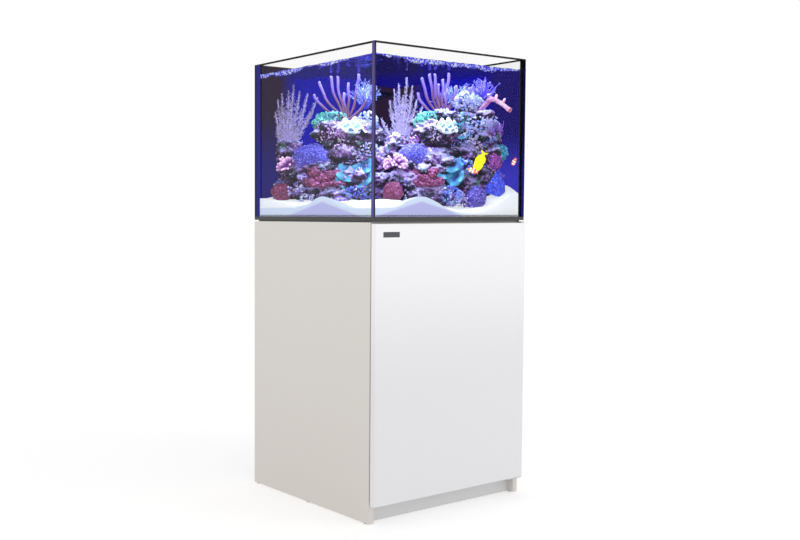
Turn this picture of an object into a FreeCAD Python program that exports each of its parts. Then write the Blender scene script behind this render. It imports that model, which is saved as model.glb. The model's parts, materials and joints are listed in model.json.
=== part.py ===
import FreeCAD, Part
import math
import os

import Sketcher

# Aquarium on a cabinet stand. Millimetres, +X to the right, +Y to the back, +Z up.
# The origin is on the floor, at the middle of the footprint. The door is at the front, -Y.

SIZES = {
    # whole unit
    "half_width": 300,
    "half_depth": 287.5,
    "unit_height": 1320,
    # cabinet carcase
    "board": 18,
    "glide_height": 2,
    "glide_radius": 8,
    "plinth_height": 50,
    "plinth_recess": 20,
    "cabinet_top": 833,
    "vent_width": 90,
    "vent_height": 10,
    "vent_pitch": 24,
    "cable_hole_radius": 28,
    # door and its pivot hinge
    "door_board": 17,
    "door_gap": 3,
    "door_margin": 1,
    "door_low": 53,
    "door_high": 829,
    "door_edge_round": 1,
    "pivot_inset": 7.8,
    "pin_radius": 2.5,
    "bush_bore": 2.55,
    "bush_radius": 4,
    "bush_length": 15,
    "bush_flange": 0.9,
    "bush_flange_radius": 6.5,
    "plate_thick": 3,
    "screw_head": 3.6,
    "screw_shank": 1.8,
    "badge_width": 60,
    "badge_height": 15,
    "badge_thick": 1.5,
    # push latch
    "latch_side": 16,
    "latch_length": 40,
    "plunger_radius": 4,
    "plunger_bore": 4.05,
    "plunger_gap": 0.3,
    # tank
    "glass": 10,
    "film": 0.5,
    "seam": 1,
    "seam_leg": 4,
    "base_leg": 6,
    "mat": 4,
    "mat_inset": 10,
    "tank_setback": 7,
    "water_line": 1288,
    "film_above_water": 5,
    # overflow chamber
    "weir_half": 115,
    "weir_depth": 90,
    "weir_wall": 5,
    "weir_height": 415,
    "comb_height": 42,
    "comb_slot": 5,
    "comb_pitch": 11,
    "comb_foot": 14,
    # plumbing
    "pipe_radius": 13,
    "pipe_bore": 11,
    "pipe_bend": 30,
    "bulkhead_radius": 19.9,
    "bulkhead_flange": 27,
    "bulkhead_nut": 26,
    "outlet_spacing": 80,
    "outlet_back": 232,
    "main_height": 1240,
    "emergency_height": 1276,
    "nozzle_height": 1235,
    "ball_radius": 12,
    "socket_bore": 12.3,
    "socket_radius": 15,
    "ball_front": 168,
    "ball_step": 35,
    "valve_centre": 670,
    "valve_radius": 20,
    "valve_half": 40,
    "valve_disc": 12.6,
    "stem_radius": 4,
    "stem_bore": 4.05,
    "lever_length": 66,
    "lever_half": 7,
    # sump
    "sump_left": -265,
    "sump_right": 130,
    "sump_front": -215,
    "sump_back": 195,
    "sump_height": 330,
    "sump_glass": 6,
    "baffle_height": 254,
    "holder_thick": 6,
    "sock_radius": 46,
    "sock_ring": 56,
    "sock_wall": 2,
    "sock_length": 196,
    "sock_left": -43,
    "sock_back": 30,
    # return pump
    "pump_half": 28,
    "pump_length": 90,
    "pump_height": 84,
    "pump_axis": 42,
    "chamber_radius": 24,
    "chamber_depth": 30,
    "impeller_radius": 22,
    "magnet_radius": 14,
    "magnet_bore": 14.5,
    # float valve and top-up reservoir
    "arm_radius": 2,
    "arm_bore": 2.05,
    "float_radius": 9,
    "tank_wall": 4,
    "reservoir_left": 150,
    "reservoir_right": 270,
    "reservoir_height": 400,
    "filler_radius": 20,
    # contents
    "sand_depth": 38,
}


def length(item):
    """The same number as a Length, whether it comes from the sheet or is plain."""
    return item if isinstance(item, Length) else Length(item, f"{item:g}")


class Length:
    """A number together with the expression that binds it to the sheet."""

    def __init__(self, value, text):
        self.value = value
        self.text = text

    def joined(self, sign, other, value):
        return Length(value, f"({self.text} {sign} {other.text})")

    def __add__(self, other):
        other = length(other)
        return self.joined("+", other, self.value + other.value)

    def __sub__(self, other):
        other = length(other)
        return self.joined("-", other, self.value - other.value)

    def __mul__(self, other):
        other = length(other)
        return self.joined("*", other, self.value * other.value)

    def __truediv__(self, other):
        other = length(other)
        return self.joined("/", other, self.value / other.value)

    def __radd__(self, other):
        return length(other) + self

    def __rsub__(self, other):
        return length(other) - self

    def __rmul__(self, other):
        return length(other) * self

    def __neg__(self):
        return length(0) - self


class Sheet:
    """The driving sizes as a spreadsheet, each also an attribute of this object."""

    def __init__(self, values):
        sheet = doc.addObject("Spreadsheet::Sheet", "Sizes")
        for row, (alias, value) in enumerate(values.items(), 1):
            sheet.set(f"A{row}", alias)
            sheet.set(f"B{row}", str(value))
            sheet.setAlias(f"B{row}", alias)
            setattr(self, alias, Length(value, "Sizes." + alias))


doc = FreeCAD.newDocument("aquarium_on_stand")
s = Sheet(SIZES)
doc.recompute()
sub_parts = []

ALONG_X = FreeCAD.Rotation(FreeCAD.Vector(0, 1, 0), 90)
ALONG_Y = FreeCAD.Rotation(FreeCAD.Vector(1, 0, 0), -90)
UPRIGHT = FreeCAD.Rotation()
UPSIDE_DOWN = FreeCAD.Rotation(FreeCAD.Vector(1, 0, 0), 180)

# planes and levels that several pieces share
front = -s.half_depth
rear = s.half_depth
door_back = front + s.door_board
side_front = door_back + s.door_gap
inner_side = s.half_width - s.board
back_inner = rear - s.board
plinth_top = s.glide_height + s.plinth_height
cabinet_floor = plinth_top + s.board
top_under = s.cabinet_top - s.board
tank_under = s.cabinet_top + s.mat
glass_low = tank_under + s.glass
tank_half = s.half_width - s.film
tank_inner = tank_half - s.glass
tank_front = front + s.tank_setback
pane_back = tank_front + s.glass
rear_outer = rear - s.film
rear_inner = rear_outer - s.glass
weir_front = rear_inner - s.weir_depth
weir_top = glass_low + s.weir_height
pivot_side = s.half_width - s.pivot_inset
pivot_front = front + s.door_board / 2
sump_floor = cabinet_floor + s.sump_glass
baffle_top = sump_floor + s.baffle_height
sand_top = glass_low + s.sand_depth


def bind(item, name, size):
    """Bind one size of an object to its expression."""
    item.setExpression(name, length(size).text)


def put(item, place, turn=UPRIGHT):
    """Turn an object, then bind the place of its own origin."""
    item.Placement = FreeCAD.Placement(FreeCAD.Vector(), turn)
    for axis, size in zip("xyz", place):
        bind(item, "Placement.Base." + axis, size)


def keep(label, item):
    """Name a finished sub-part and list it for export."""
    item.Label = label
    sub_parts.append(item)
    return item


# ---------------------------------------------------------------- primitives and booleans


def block(x, y, z):
    """A rectangular block between a low and a high bound on each axis."""
    item = doc.addObject("Part::Box", "block")
    put(item, (x[0], y[0], z[0]))
    for name, (low, high) in zip(("Length", "Width", "Height"), (x, y, z)):
        bind(item, name, length(high) - low)
    return item


def rod(radius, place, reach, turn=UPRIGHT):
    """A round rod from a place, reaching along the turned axis."""
    item = doc.addObject("Part::Cylinder", "rod")
    put(item, place, turn)
    bind(item, "Radius", radius)
    bind(item, "Height", reach)
    return item


def ball(radius, place):
    """A sphere about a place."""
    item = doc.addObject("Part::Sphere", "ball")
    put(item, place)
    bind(item, "Radius", radius)
    return item


def egg(place, radii):
    """An ellipsoid with its three radii along X, Y and Z."""
    item = doc.addObject("Part::Ellipsoid", "egg")
    put(item, place)
    for name, radius in zip(("Radius2", "Radius3", "Radius1"), radii):
        bind(item, name, radius)
    return item


def fuse(*items):
    """Several solids joined in one."""
    item = doc.addObject("Part::MultiFuse", "joined")
    item.Shapes = list(items)
    return item


def group(*items):
    """Separate solids that share one node."""
    item = doc.addObject("Part::Compound", "group")
    item.Links = list(items)
    return item


def cut(base, *tools):
    """A solid with one or more others taken away."""
    item = doc.addObject("Part::Cut", "cut")
    item.Base = base
    item.Tool = tools[0] if len(tools) == 1 else fuse(*tools)
    return item


# ---------------------------------------------------------------- sketches and features


def new_body(place=(0, 0, 0), turn=UPRIGHT):
    body = doc.addObject("PartDesign::Body", "body")
    put(body, place, turn)
    return body


def new_sketch(body, plane, offset=0):
    """A sketch on one of the body's own origin planes, moved along its normal."""
    sketch = body.newObject("Sketcher::SketchObject", "outline")
    support = next(item for item in body.Origin.OriginFeatures if item.Role == plane)
    sketch.AttachmentSupport = [(support, "")]
    sketch.MapMode = "FlatFace"
    bind(sketch, "AttachmentOffset.Base.z", offset)
    return sketch


def spot(place):
    return FreeCAD.Vector(length(place[0]).value, length(place[1]).value, 0)


def fix(sketch, kind, edge, end, size):
    """Hold one coordinate of a point of the sketch at a size from the sketch's origin."""
    size = length(size)
    row = sketch.addConstraint(Sketcher.Constraint(kind, -1, 1, edge, end, size.value))
    bind(sketch, f"Constraints[{row}]", size)


def fix_point(sketch, edge, end, place):
    fix(sketch, "DistanceX", edge, end, place[0])
    fix(sketch, "DistanceY", edge, end, place[1])


def outline(sketch, *corners):
    """A closed polygon with every corner bound to its sizes."""
    first = sketch.GeometryCount
    count = len(corners)
    for i, corner in enumerate(corners):
        line = Part.LineSegment(spot(corner), spot(corners[(i + 1) % count]))
        sketch.addGeometry(line, False)
    for i, corner in enumerate(corners):
        after = first + (i + 1) % count
        sketch.addConstraint(Sketcher.Constraint("Coincident", first + i, 2, after, 1))
        fix_point(sketch, first + i, 1, corner)
    return sketch


def rectangle(sketch, x, y):
    return outline(sketch, (x[0], y[0]), (x[1], y[0]), (x[1], y[1]), (x[0], y[1]))


def circle(sketch, centre, radius):
    radius = length(radius)
    shape = Part.Circle(spot(centre), FreeCAD.Vector(0, 0, 1), radius.value)
    edge = sketch.addGeometry(shape, False)
    fix_point(sketch, edge, 3, centre)
    row = sketch.addConstraint(Sketcher.Constraint("Radius", edge, radius.value))
    bind(sketch, f"Constraints[{row}]", radius)
    return sketch


def feature(body, kind, sketch, **settings):
    item = body.newObject("PartDesign::" + kind, kind.lower())
    item.Profile = sketch
    for name, value in settings.items():
        setattr(item, name, value)
    return item


def pad(body, sketch, reach, reverse=False):
    item = feature(body, "Pad", sketch, Reversed=reverse)
    bind(item, "Length", reach)
    return item


def pocket(body, sketch, reach, reverse=False):
    """A pocket, which has to take material away."""
    doc.recompute()
    before = body.Shape.Volume
    item = feature(body, "Pocket", sketch, Reversed=reverse)
    bind(item, "Length", reach)
    doc.recompute()
    assert body.Shape.Volume < before, "the pocket points away from the solid"
    return item


def pattern(body, kind, original, count, **settings):
    """Repeat a feature, and make the pattern the body's last step."""
    item = body.newObject("PartDesign::" + kind, kind.lower())
    item.Originals = [original]
    item.Occurrences = count
    for name, value in settings.items():
        setattr(item, name, value)
    body.Tip = item
    return item


def prism(plane, offset, corners, reach, reverse=False):
    """A body padded from one polygon."""
    body = new_body()
    pad(body, outline(new_sketch(body, plane, offset), *corners), reach, reverse)
    return body


def turned(place, profile, turn=UPRIGHT):
    """A body of revolution: profile corners are (radius, height) about its own Z axis."""
    body = new_body(place, turn)
    sketch = outline(new_sketch(body, "XZ_Plane"), *profile)
    feature(body, "Revolution", sketch, ReferenceAxis=(sketch, ["V_Axis"]), Angle=360)
    return body


def route(sketch, points, bend):
    """A path of square turns, each rounded by an arc of the bend radius."""

    def step(a, b):
        gaps = [length(b[k]).value - length(a[k]).value for k in (0, 1)]
        return [0 if abs(gap) < 1e-6 else math.copysign(1, gap) for gap in gaps]

    def moved(place, way, size):
        return tuple(place[k] + size * way[k] if way[k] else place[k] for k in (0, 1))

    start = points[0]
    before = None
    for corner, after in zip(points[1:], points[2:] + [None]):
        way_in = step(start, corner)
        stop = corner if after is None else moved(corner, way_in, -bend)
        line = sketch.addGeometry(Part.LineSegment(spot(start), spot(stop)), False)
        if before is None:
            fix_point(sketch, line, 1, start)
        else:
            sketch.addConstraint(Sketcher.Constraint("Coincident", *before, line, 1))
        fix_point(sketch, line, 2, stop)
        if after is None:
            break
        way_out = step(corner, after)
        centre = moved(stop, way_out, bend)
        leave = moved(corner, way_out, bend)
        left_turn = way_in[0] * way_out[1] - way_in[1] * way_out[0] > 0
        middle = spot(centre)
        ends = [math.atan2(*reversed((spot(p) - middle)[:2])) for p in (stop, leave)]
        if not left_turn:
            ends.reverse()
        base = Part.Circle(middle, FreeCAD.Vector(0, 0, 1), bend.value)
        arc = sketch.addGeometry(Part.ArcOfCircle(base, ends[0], ends[1]), False)
        first, last = (1, 2) if left_turn else (2, 1)
        sketch.addConstraint(Sketcher.Constraint("Coincident", line, 2, arc, first))
        fix_point(sketch, arc, last, leave)
        fix(sketch, "DistanceX", arc, 3, centre[0])
        before = (arc, last)
        start = leave
    return sketch


def pipe(place, plane, points, outer, bore, bend):
    """A round pipe along a route in one plane, from its lower end, which points up."""
    body = new_body(place)
    path = route(new_sketch(body, plane), points, bend)
    section = new_sketch(body, "XY_Plane", points[0][1])
    centre = (points[0][0], 0) if plane == "XZ_Plane" else (0, points[0][0])
    circle(section, centre, outer)
    circle(section, centre, bore)
    item = feature(body, "AdditivePipe", section)
    item.Spine = path
    return body


# ---------------------------------------------------------------- cabinet


def side_panels():
    depth = (side_front, rear)
    height = (s.glide_height, s.cabinet_top)
    keep("left_side_panel", block((-s.half_width, -inner_side), depth, height))
    panel = block((inner_side, s.half_width), depth, height)
    keep("right_side_panel", cut(panel, top_plate_seat(), screws))


def top_plate_seat():
    """The space that the top pivot plate fills, let into the side panel's top edge."""
    wide = (inner_side + 2, s.half_width - 2)
    deep = (front + 2.5, side_front + 42.5)
    return block(wide, deep, (s.cabinet_top - s.plate_thick, s.cabinet_top))


def outlet_cut_out(low, high):
    """The hole under the overflow chamber that the bulkheads hang through."""
    reach = s.outlet_spacing + 30
    return block((-reach, reach), (s.outlet_back - 32, s.outlet_back + 32), (low, high))


def horizontal_panels():
    wide = (-inner_side, inner_side)
    deep = (side_front, back_inner)
    top = block(wide, deep, (top_under, s.cabinet_top))
    keep("top_panel", cut(top, outlet_cut_out(top_under - 1, s.cabinet_top + 1)))
    keep("bottom_panel", cut(block(wide, deep, (plinth_top, cabinet_floor)), screws))


def back_panel():
    """Back panel with a ladder of vent slots above and two round cable holes below."""
    body = new_body()
    wide = (-inner_side, inner_side)
    face = new_sketch(body, "XZ_Plane", -rear)
    pad(body, rectangle(face, wide, (plinth_top, s.cabinet_top)), s.board)
    slot = new_sketch(body, "XZ_Plane", -rear)
    rectangle(slot, (-s.vent_width / 2, s.vent_width / 2), (700, 700 + s.vent_height))
    vent = pocket(body, slot, s.board, reverse=True)
    ladder = pattern(body, "LinearPattern", vent, 4, Direction=(slot, ["V_Axis"]))
    bind(ladder, "Length", 3 * s.vent_pitch)
    holes = new_sketch(body, "XZ_Plane", -rear)
    for side in (-1, 1):
        circle(holes, (side * 200, 520), s.cable_hole_radius)
    pocket(body, holes, s.board, reverse=True)
    keep("back_panel", body)


def plinth():
    wide = (-inner_side, inner_side)
    height = (s.glide_height, plinth_top)
    face = side_front + s.plinth_recess
    keep("plinth_board", block(wide, (face, face + s.board), height))
    keep("rear_plinth_board", block(wide, (back_inner - s.board, back_inner), height))


def floor_glides():
    spots = [(x, y) for x in (-291, 291) for y in (-250, 10, 270)]
    discs = [rod(s.glide_radius, (x, y, 0), s.glide_height) for x, y in spots]
    keep("floor_glides", group(*discs))


# ---------------------------------------------------------------- door hinge


def screw(x, y, z, turn):
    """A countersunk screw whose head is flush with the plate's outer face."""
    head = doc.addObject("Part::Cone", "screw_head")
    put(head, (x, y, z), turn)
    bind(head, "Radius1", s.screw_head)
    bind(head, "Radius2", s.screw_shank)
    bind(head, "Height", s.screw_head - s.screw_shank)
    return fuse(head, rod(s.screw_shank, (x, y, z), 14, turn))


def hinge_hardware():
    plate_top = s.cabinet_top
    low_plate = plinth_top - s.plate_thick
    top_pin = rod(s.pin_radius, (pivot_side, pivot_front, plate_top - 17.5), 17.5)
    low_pin = rod(s.pin_radius, (pivot_side, pivot_front, low_plate), 17.5)
    pins = keep("pivot_pins", group(low_pin, top_pin))
    keep("top_pivot_plate", cut(top_plate_seat(), pins, screws))
    arm = [
        (236, front + 2.5),
        (299, front + 2.5),
        (299, side_front - 1),
        (281, side_front - 1),
        (281, side_front + 18.5),
        (236, side_front + 18.5),
    ]
    plate = prism("XY_Plane", low_plate, arm, s.plate_thick)
    keep("bottom_pivot_plate", cut(plate, pins, screws))


def push_latch():
    """Housing under the top panel with a spring plunger that pushes the door open."""
    left = -262
    middle = left + s.latch_side / 2
    height = top_under - s.latch_side / 2
    low = top_under - s.latch_side
    face = side_front + 5.5
    box = block((left, left + s.latch_side), (face, face + s.latch_length), (low, top_under))
    bore = rod(s.plunger_bore, (middle, face - 1, height), s.latch_length - 3, ALONG_Y)
    keep("latch_housing", cut(box, bore))
    tip = door_back + 1 + s.plunger_gap
    keep("latch_plunger", rod(s.plunger_radius, (middle, tip, height), 37, ALONG_Y))
    strike = block((left + 1, left + 15), (door_back, door_back + 1), (low + 1, low + 15))
    keep("latch_strike", strike)


# ---------------------------------------------------------------- door


def door_panel():
    body = new_body()
    half = s.half_width - s.door_margin
    base = new_sketch(body, "XY_Plane", s.door_low)
    slab = pad(body, rectangle(base, (-half, half), (front, door_back)), s.door_high - s.door_low)
    doc.recompute()
    uprights = [
        f"Edge{i}"
        for i, edge in enumerate(slab.Shape.Edges, 1)
        if abs(edge.Vertexes[0].Z - edge.Vertexes[-1].Z) > s.door_board.value
    ]
    rounding = body.newObject("PartDesign::Fillet", "edge_rounding")
    rounding.Base = (slab, uprights)
    bind(rounding, "Radius", s.door_edge_round)
    for level, upwards in ((s.door_low, True), (s.door_high, False)):
        hole = circle(new_sketch(body, "XY_Plane", level), (pivot_side, pivot_front), s.bush_radius)
        pocket(body, hole, s.bush_length, reverse=upwards)
    seat = rectangle(new_sketch(body, "XZ_Plane", s.half_depth), *badge_bounds())
    pocket(body, seat, s.badge_thick)
    keep("door_panel", body)


def badge_bounds():
    left = -s.half_width + 29
    high = s.door_high - 22
    return (left, left + s.badge_width), (high - s.badge_height, high)


def door_fittings():
    wide, tall = badge_bounds()
    keep("door_badge", block(wide, (front, front + s.badge_thick), tall))
    profile = [
        (s.bush_bore, -s.bush_flange),
        (s.bush_flange_radius, -s.bush_flange),
        (s.bush_flange_radius, 0),
        (s.bush_radius, 0),
        (s.bush_radius, s.bush_length),
        (s.bush_bore, s.bush_length),
    ]
    low = turned((pivot_side, pivot_front, s.door_low), profile)
    high = turned((pivot_side, pivot_front, s.door_high), profile, UPSIDE_DOWN)
    keep("pivot_bushes", group(low, high))
    bumpers = [rod(4, (-291, door_back, level), 1.5, ALONG_Y) for level in (75, 810)]
    keep("door_bumpers", group(*bumpers))


# ---------------------------------------------------------------- tank glass


def tank_base():
    wide = s.half_width - s.mat_inset
    deep = (tank_front + s.mat_inset, rear - s.mat_inset)
    mat = block((-wide, wide), deep, (s.cabinet_top, tank_under))
    keep("levelling_mat", cut(mat, outlet_cut_out(s.cabinet_top - 1, tank_under + 1)))
    pane = block((-tank_half, tank_half), (tank_front, rear), (tank_under, glass_low))
    holes = [
        rod(s.bulkhead_radius, (x, s.outlet_back, tank_under - 1), s.glass + 2)
        for x in outlet_places()
    ]
    keep("tank_bottom_pane", cut(pane, *holes))


def outlet_places():
    return -s.outlet_spacing, 0, s.outlet_spacing


def tank_panes():
    height = (glass_low, s.unit_height)
    full = (-tank_half, tank_half)
    keep("front_pane", block(full, (tank_front, pane_back), height))
    keep("rear_pane", block(full, (rear_inner, rear_outer), height))
    keep("rear_film", block(full, (rear_outer, rear), height))
    between = (pane_back + s.seam, rear_inner - s.seam)
    keep("left_pane", block((-tank_half, -tank_inner), between, height))
    keep("right_pane", block((tank_inner, tank_half), between, height))
    under_water = (glass_low, s.water_line + s.film_above_water)
    keep("side_film", block((tank_half, s.half_width), (tank_front, rear), under_water))


def corner_seams():
    """Silicone in each upright joint: a thin layer with a cove on the inside."""
    seams = []
    for side in (-1, 1):
        for face, way in ((pane_back, 1), (rear_inner, -1)):
            corners = [
                (side * tank_half, face),
                (side * (tank_inner - s.seam_leg), face),
                (side * tank_inner, face + way * s.seam_leg),
                (side * tank_inner, face + way * s.seam),
                (side * tank_half, face + way * s.seam),
            ]
            seams.append(prism("XY_Plane", glass_low, corners, s.unit_height - glass_low))
    keep("corner_seams", group(*seams))


def base_seam():
    """Silicone cove along the foot of each pane, between the corner coves."""
    leg = s.base_leg
    across = tank_inner - leg
    ahead = pane_back + leg
    behind = rear_inner - leg
    coves = []
    for side in (-1, 1):
        edge = side * tank_inner
        corners = [(edge, glass_low), (edge - side * leg, glass_low), (edge, glass_low + leg)]
        coves.append(prism("XZ_Plane", -behind, corners, behind - ahead))
    face = [(pane_back, glass_low), (pane_back + leg, glass_low), (pane_back, glass_low + leg)]
    coves.append(prism("YZ_Plane", -across, face, 2 * across))
    foot = [(rear_inner, glass_low), (rear_inner - leg, glass_low), (rear_inner, glass_low + leg)]
    for left, right in ((-across, -s.weir_half - 1), (s.weir_half + 1, across)):
        coves.append(prism("YZ_Plane", left, foot, right - left))
    keep("base_seam", group(*coves))


# ---------------------------------------------------------------- overflow chamber


def weir_ring(low, high):
    """Three walls around the outlets, open against the rear pane."""
    out = s.weir_half
    inn = out - s.weir_wall
    inside = weir_front + s.weir_wall
    corners = [
        (-out, weir_front),
        (out, weir_front),
        (out, rear_inner),
        (inn, rear_inner),
        (inn, inside),
        (-inn, inside),
        (-inn, rear_inner),
        (-out, rear_inner),
    ]
    return prism("XY_Plane", low, corners, high - low)


def overflow_chamber():
    place = (s.outlet_spacing, weir_front - 1, s.nozzle_height)
    hole = rod(s.pipe_radius, place, s.weir_wall + 2, ALONG_Y)
    keep("weir_box", cut(weir_ring(glass_low, weir_top), hole))
    comb = weir_ring(weir_top, weir_top + s.comb_height)
    foot = weir_top + s.comb_foot
    top = weir_top + s.comb_height
    half = s.comb_slot / 2
    count = 19
    first = -s.comb_pitch * ((count - 1) / 2)
    slot = new_sketch(comb, "XZ_Plane", -(weir_front + s.weir_wall))
    rectangle(slot, (first - half, first + half), (foot, top))
    notch = pocket(comb, slot, s.weir_wall, reverse=True)
    row = pattern(comb, "LinearPattern", notch, count, Direction=(slot, ["H_Axis"]))
    bind(row, "Length", s.comb_pitch * (count - 1))
    side_count = 6
    near = weir_front + 14
    side = new_sketch(comb, "YZ_Plane", s.weir_half)
    rectangle(side, (near - half, near + half), (foot, top))
    side_notch = pocket(comb, side, 2 * s.weir_half)
    side_row = pattern(comb, "LinearPattern", side_notch, side_count, Direction=(side, ["H_Axis"]))
    bind(side_row, "Length", s.comb_pitch * (side_count - 1))
    keep("weir_comb", comb)


def bulkheads():
    """Threaded fittings through the tank floor: flange, body and clamping nut."""
    bore = s.pipe_radius
    body = s.bulkhead_radius
    nut_low = tank_under - 14
    nut_high = tank_under - 2
    profile = [
        (bore, top_under),
        (body, top_under),
        (body, nut_low),
        (s.bulkhead_nut, nut_low),
        (s.bulkhead_nut, nut_high),
        (body, nut_high),
        (body, glass_low),
        (s.bulkhead_flange, glass_low),
        (s.bulkhead_flange, glass_low + 6),
        (bore, glass_low + 6),
    ]
    keep("bulkheads", group(*[turned((x, s.outlet_back, 0), profile) for x in outlet_places()]))


def standpipes():
    foot = tank_under - 1
    heights = (("main_standpipe", s.main_height), ("emergency_standpipe", s.emergency_height))
    for x, (label, top) in zip(outlet_places(), heights):
        profile = [
            (s.pipe_bore, foot),
            (s.pipe_radius, foot),
            (s.pipe_radius, top - 10),
            (s.pipe_radius + 4, top - 10),
            (s.pipe_radius + 4, top),
            (s.pipe_bore, top),
        ]
        keep(label, turned((x, s.outlet_back, 0), profile))


# ---------------------------------------------------------------- return line and nozzle


def socket(centre_y):
    """A ball socket open to the front, with a way through its back for the water."""
    centre = (s.outlet_spacing, centre_y, s.nozzle_height)
    lip = centre_y - 4
    reach = s.socket_radius + 1
    ahead = block(
        (s.outlet_spacing - reach, s.outlet_spacing + reach),
        (centre_y - reach, lip),
        (s.nozzle_height - reach, s.nozzle_height + reach),
    )
    return ball(s.socket_radius, centre), ball(s.socket_bore, centre), ahead


def return_line():
    foot = tank_under - 1
    points = [(s.outlet_back, foot), (s.outlet_back, s.nozzle_height), (180, s.nozzle_height)]
    riser = pipe((s.outlet_spacing, 0, 0), "YZ_Plane", points, s.pipe_radius, s.pipe_bore, s.pipe_bend)
    shell, cavity, ahead = socket(s.ball_front)
    centre = (s.outlet_spacing, s.ball_front, s.nozzle_height)
    neck = rod(s.pipe_radius, centre, 12, ALONG_Y)
    waterway = rod(8, centre, 20, ALONG_Y)
    keep("return_riser", fuse(riser, cut(fuse(shell, neck), cavity, ahead, waterway)))


def nozzle():
    """A jointed hose end: one swivelling segment, then a flat fan-shaped tip."""
    x = s.outlet_spacing
    z = s.nozzle_height
    second = s.ball_front - s.ball_step
    head = ball(s.ball_radius, (x, s.ball_front, z))
    stem = rod(7, (x, second + s.socket_bore, z), s.ball_step - s.socket_bore, ALONG_Y)
    shell, cavity, ahead = socket(second)
    bore = rod(5, (x, second, z), s.ball_step + s.ball_radius + 1, ALONG_Y)
    keep("nozzle_segment", cut(fuse(head, stem, shell), cavity, ahead, bore))
    tip_head = ball(s.ball_radius, (x, second, z))
    tip_stem = rod(7, (x, second - 22, z), 22, ALONG_Y)
    mouth = second - 50
    fan = flare(mouth, second - 20, 22, 6, 10, 9)
    slit = flare(mouth - 1, second - 26, 19.5, 3.5, 4, 3)
    tip_bore = rod(5, (x, second - 27, z), 27 + s.ball_radius + 1, ALONG_Y)
    keep("nozzle_tip", cut(fuse(tip_head, tip_stem, fan), slit, tip_bore))


def flare(near, far, near_x, near_z, far_x, far_z):
    """A tapered block about the nozzle's line, wide at its near end."""
    item = doc.addObject("Part::Wedge", "flare")
    put(item, (s.outlet_spacing, 0, s.nozzle_height))
    bind(item, "Ymin", near)
    bind(item, "Ymax", far)
    for name, half_x, half_z in (("", near_x, near_z), ("2", far_x, far_z)):
        bind(item, f"X{name}min", -half_x)
        bind(item, f"X{name}max", half_x)
        bind(item, f"Z{name}min", -half_z)
        bind(item, f"Z{name}max", half_z)
    return item


def under_tank_pipes():
    back = s.outlet_back
    top = tank_under - 4
    cross = 560
    drain_x = -s.outlet_spacing
    low_end = s.valve_centre - 20
    drop = [(150, 300), (150, cross), (back, cross), (back, low_end)]
    size = (s.pipe_radius, s.pipe_bore, s.pipe_bend)
    lower = pipe((drain_x, 0, 0), "YZ_Plane", drop, *size)
    high_end = s.valve_centre + 20
    outer = rod(s.pipe_radius, (drain_x, back, high_end), top - high_end)
    inner = rod(s.pipe_bore, (drain_x, back, high_end - 1), top - high_end + 2)
    keep("drain_downpipe", group(lower, cut(outer, inner)))
    spare = [(150, 360), (150, cross), (back, cross), (back, top)]
    keep("emergency_downpipe", pipe((0, 0, 0), "YZ_Plane", spare, *size))
    supply = [(15, 190), (15, 480), (back, 480), (back, top)]
    keep("return_pipe", pipe((s.outlet_spacing, 0, 0), "YZ_Plane", supply, *size))


def flow_valve():
    """A quarter-turn butterfly valve in the drain: body, disc with its stem, and lever."""
    x = -s.outlet_spacing
    back = s.outlet_back
    z = s.valve_centre
    low = z - s.valve_half
    outer = rod(s.valve_radius, (x, back, low), 2 * s.valve_half)
    boss = rod(9, (x, back - 24, z), 20, ALONG_Y)
    bore = rod(s.pipe_radius, (x, back, low - 1), 2 * s.valve_half + 2)
    stem_hole = rod(s.stem_bore, (x, back - 25, z), 25, ALONG_Y)
    keep("valve_body", cut(fuse(outer, boss), bore, stem_hole))
    disc = rod(s.valve_disc, (x - 1.5, back, z), 3, ALONG_X)
    stem = rod(s.stem_radius, (x, back - 34, z), 34, ALONG_Y)
    keep("valve_disc", fuse(disc, stem))
    half = s.lever_half
    bar = block((x - half, x + half), (back - 32, back - 25), (z - 12, z - 12 + s.lever_length))
    keep("valve_lever", cut(bar, rod(s.stem_radius, (x, back - 35, z), 12, ALONG_Y)))


# ---------------------------------------------------------------- sump


def sump():
    wall = s.sump_glass
    inside_x = (s.sump_left + wall, s.sump_right - wall)
    inside_y = (s.sump_front + wall, s.sump_back - wall)
    top = cabinet_floor + s.sump_height
    outer = block((s.sump_left, s.sump_right), (s.sump_front, s.sump_back), (cabinet_floor, top))
    keep("sump_tank", cut(outer, block(inside_x, inside_y, (sump_floor, top + 1))))
    walls = ((-112, sump_floor, baffle_top), (20, sump_floor + 30, baffle_top), (38, sump_floor, 290))
    baffles = [block((x, x + wall), inside_y, (low, high)) for x, low, high in walls]
    keep("sump_baffles", group(*baffles))
    shelf = block((-112, 26), (-40, s.sump_back - wall), (baffle_top, baffle_top + s.holder_thick))
    sock_hole = rod(s.sock_radius + 2, (s.sock_left, s.sock_back, baffle_top - 1), s.holder_thick + 2)
    drops = [
        rod(s.pipe_radius + 0.5, (x, 150, baffle_top - 1), s.holder_thick + 2)
        for x in outlet_places()[:2]
    ]
    keep("sock_holder", cut(shelf, sock_hole, *drops))
    seat = baffle_top + s.holder_thick
    foot = seat - s.sock_length
    profile = [
        (0, foot),
        (s.sock_radius, foot),
        (s.sock_radius, seat),
        (s.sock_ring, seat),
        (s.sock_ring, seat + 6),
        (s.sock_radius - s.sock_wall, seat + 6),
        (s.sock_radius - s.sock_wall, foot + s.sock_wall),
        (0, foot + s.sock_wall),
    ]
    keep("filter_sock", turned((s.sock_left, s.sock_back, 0), profile))


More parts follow.
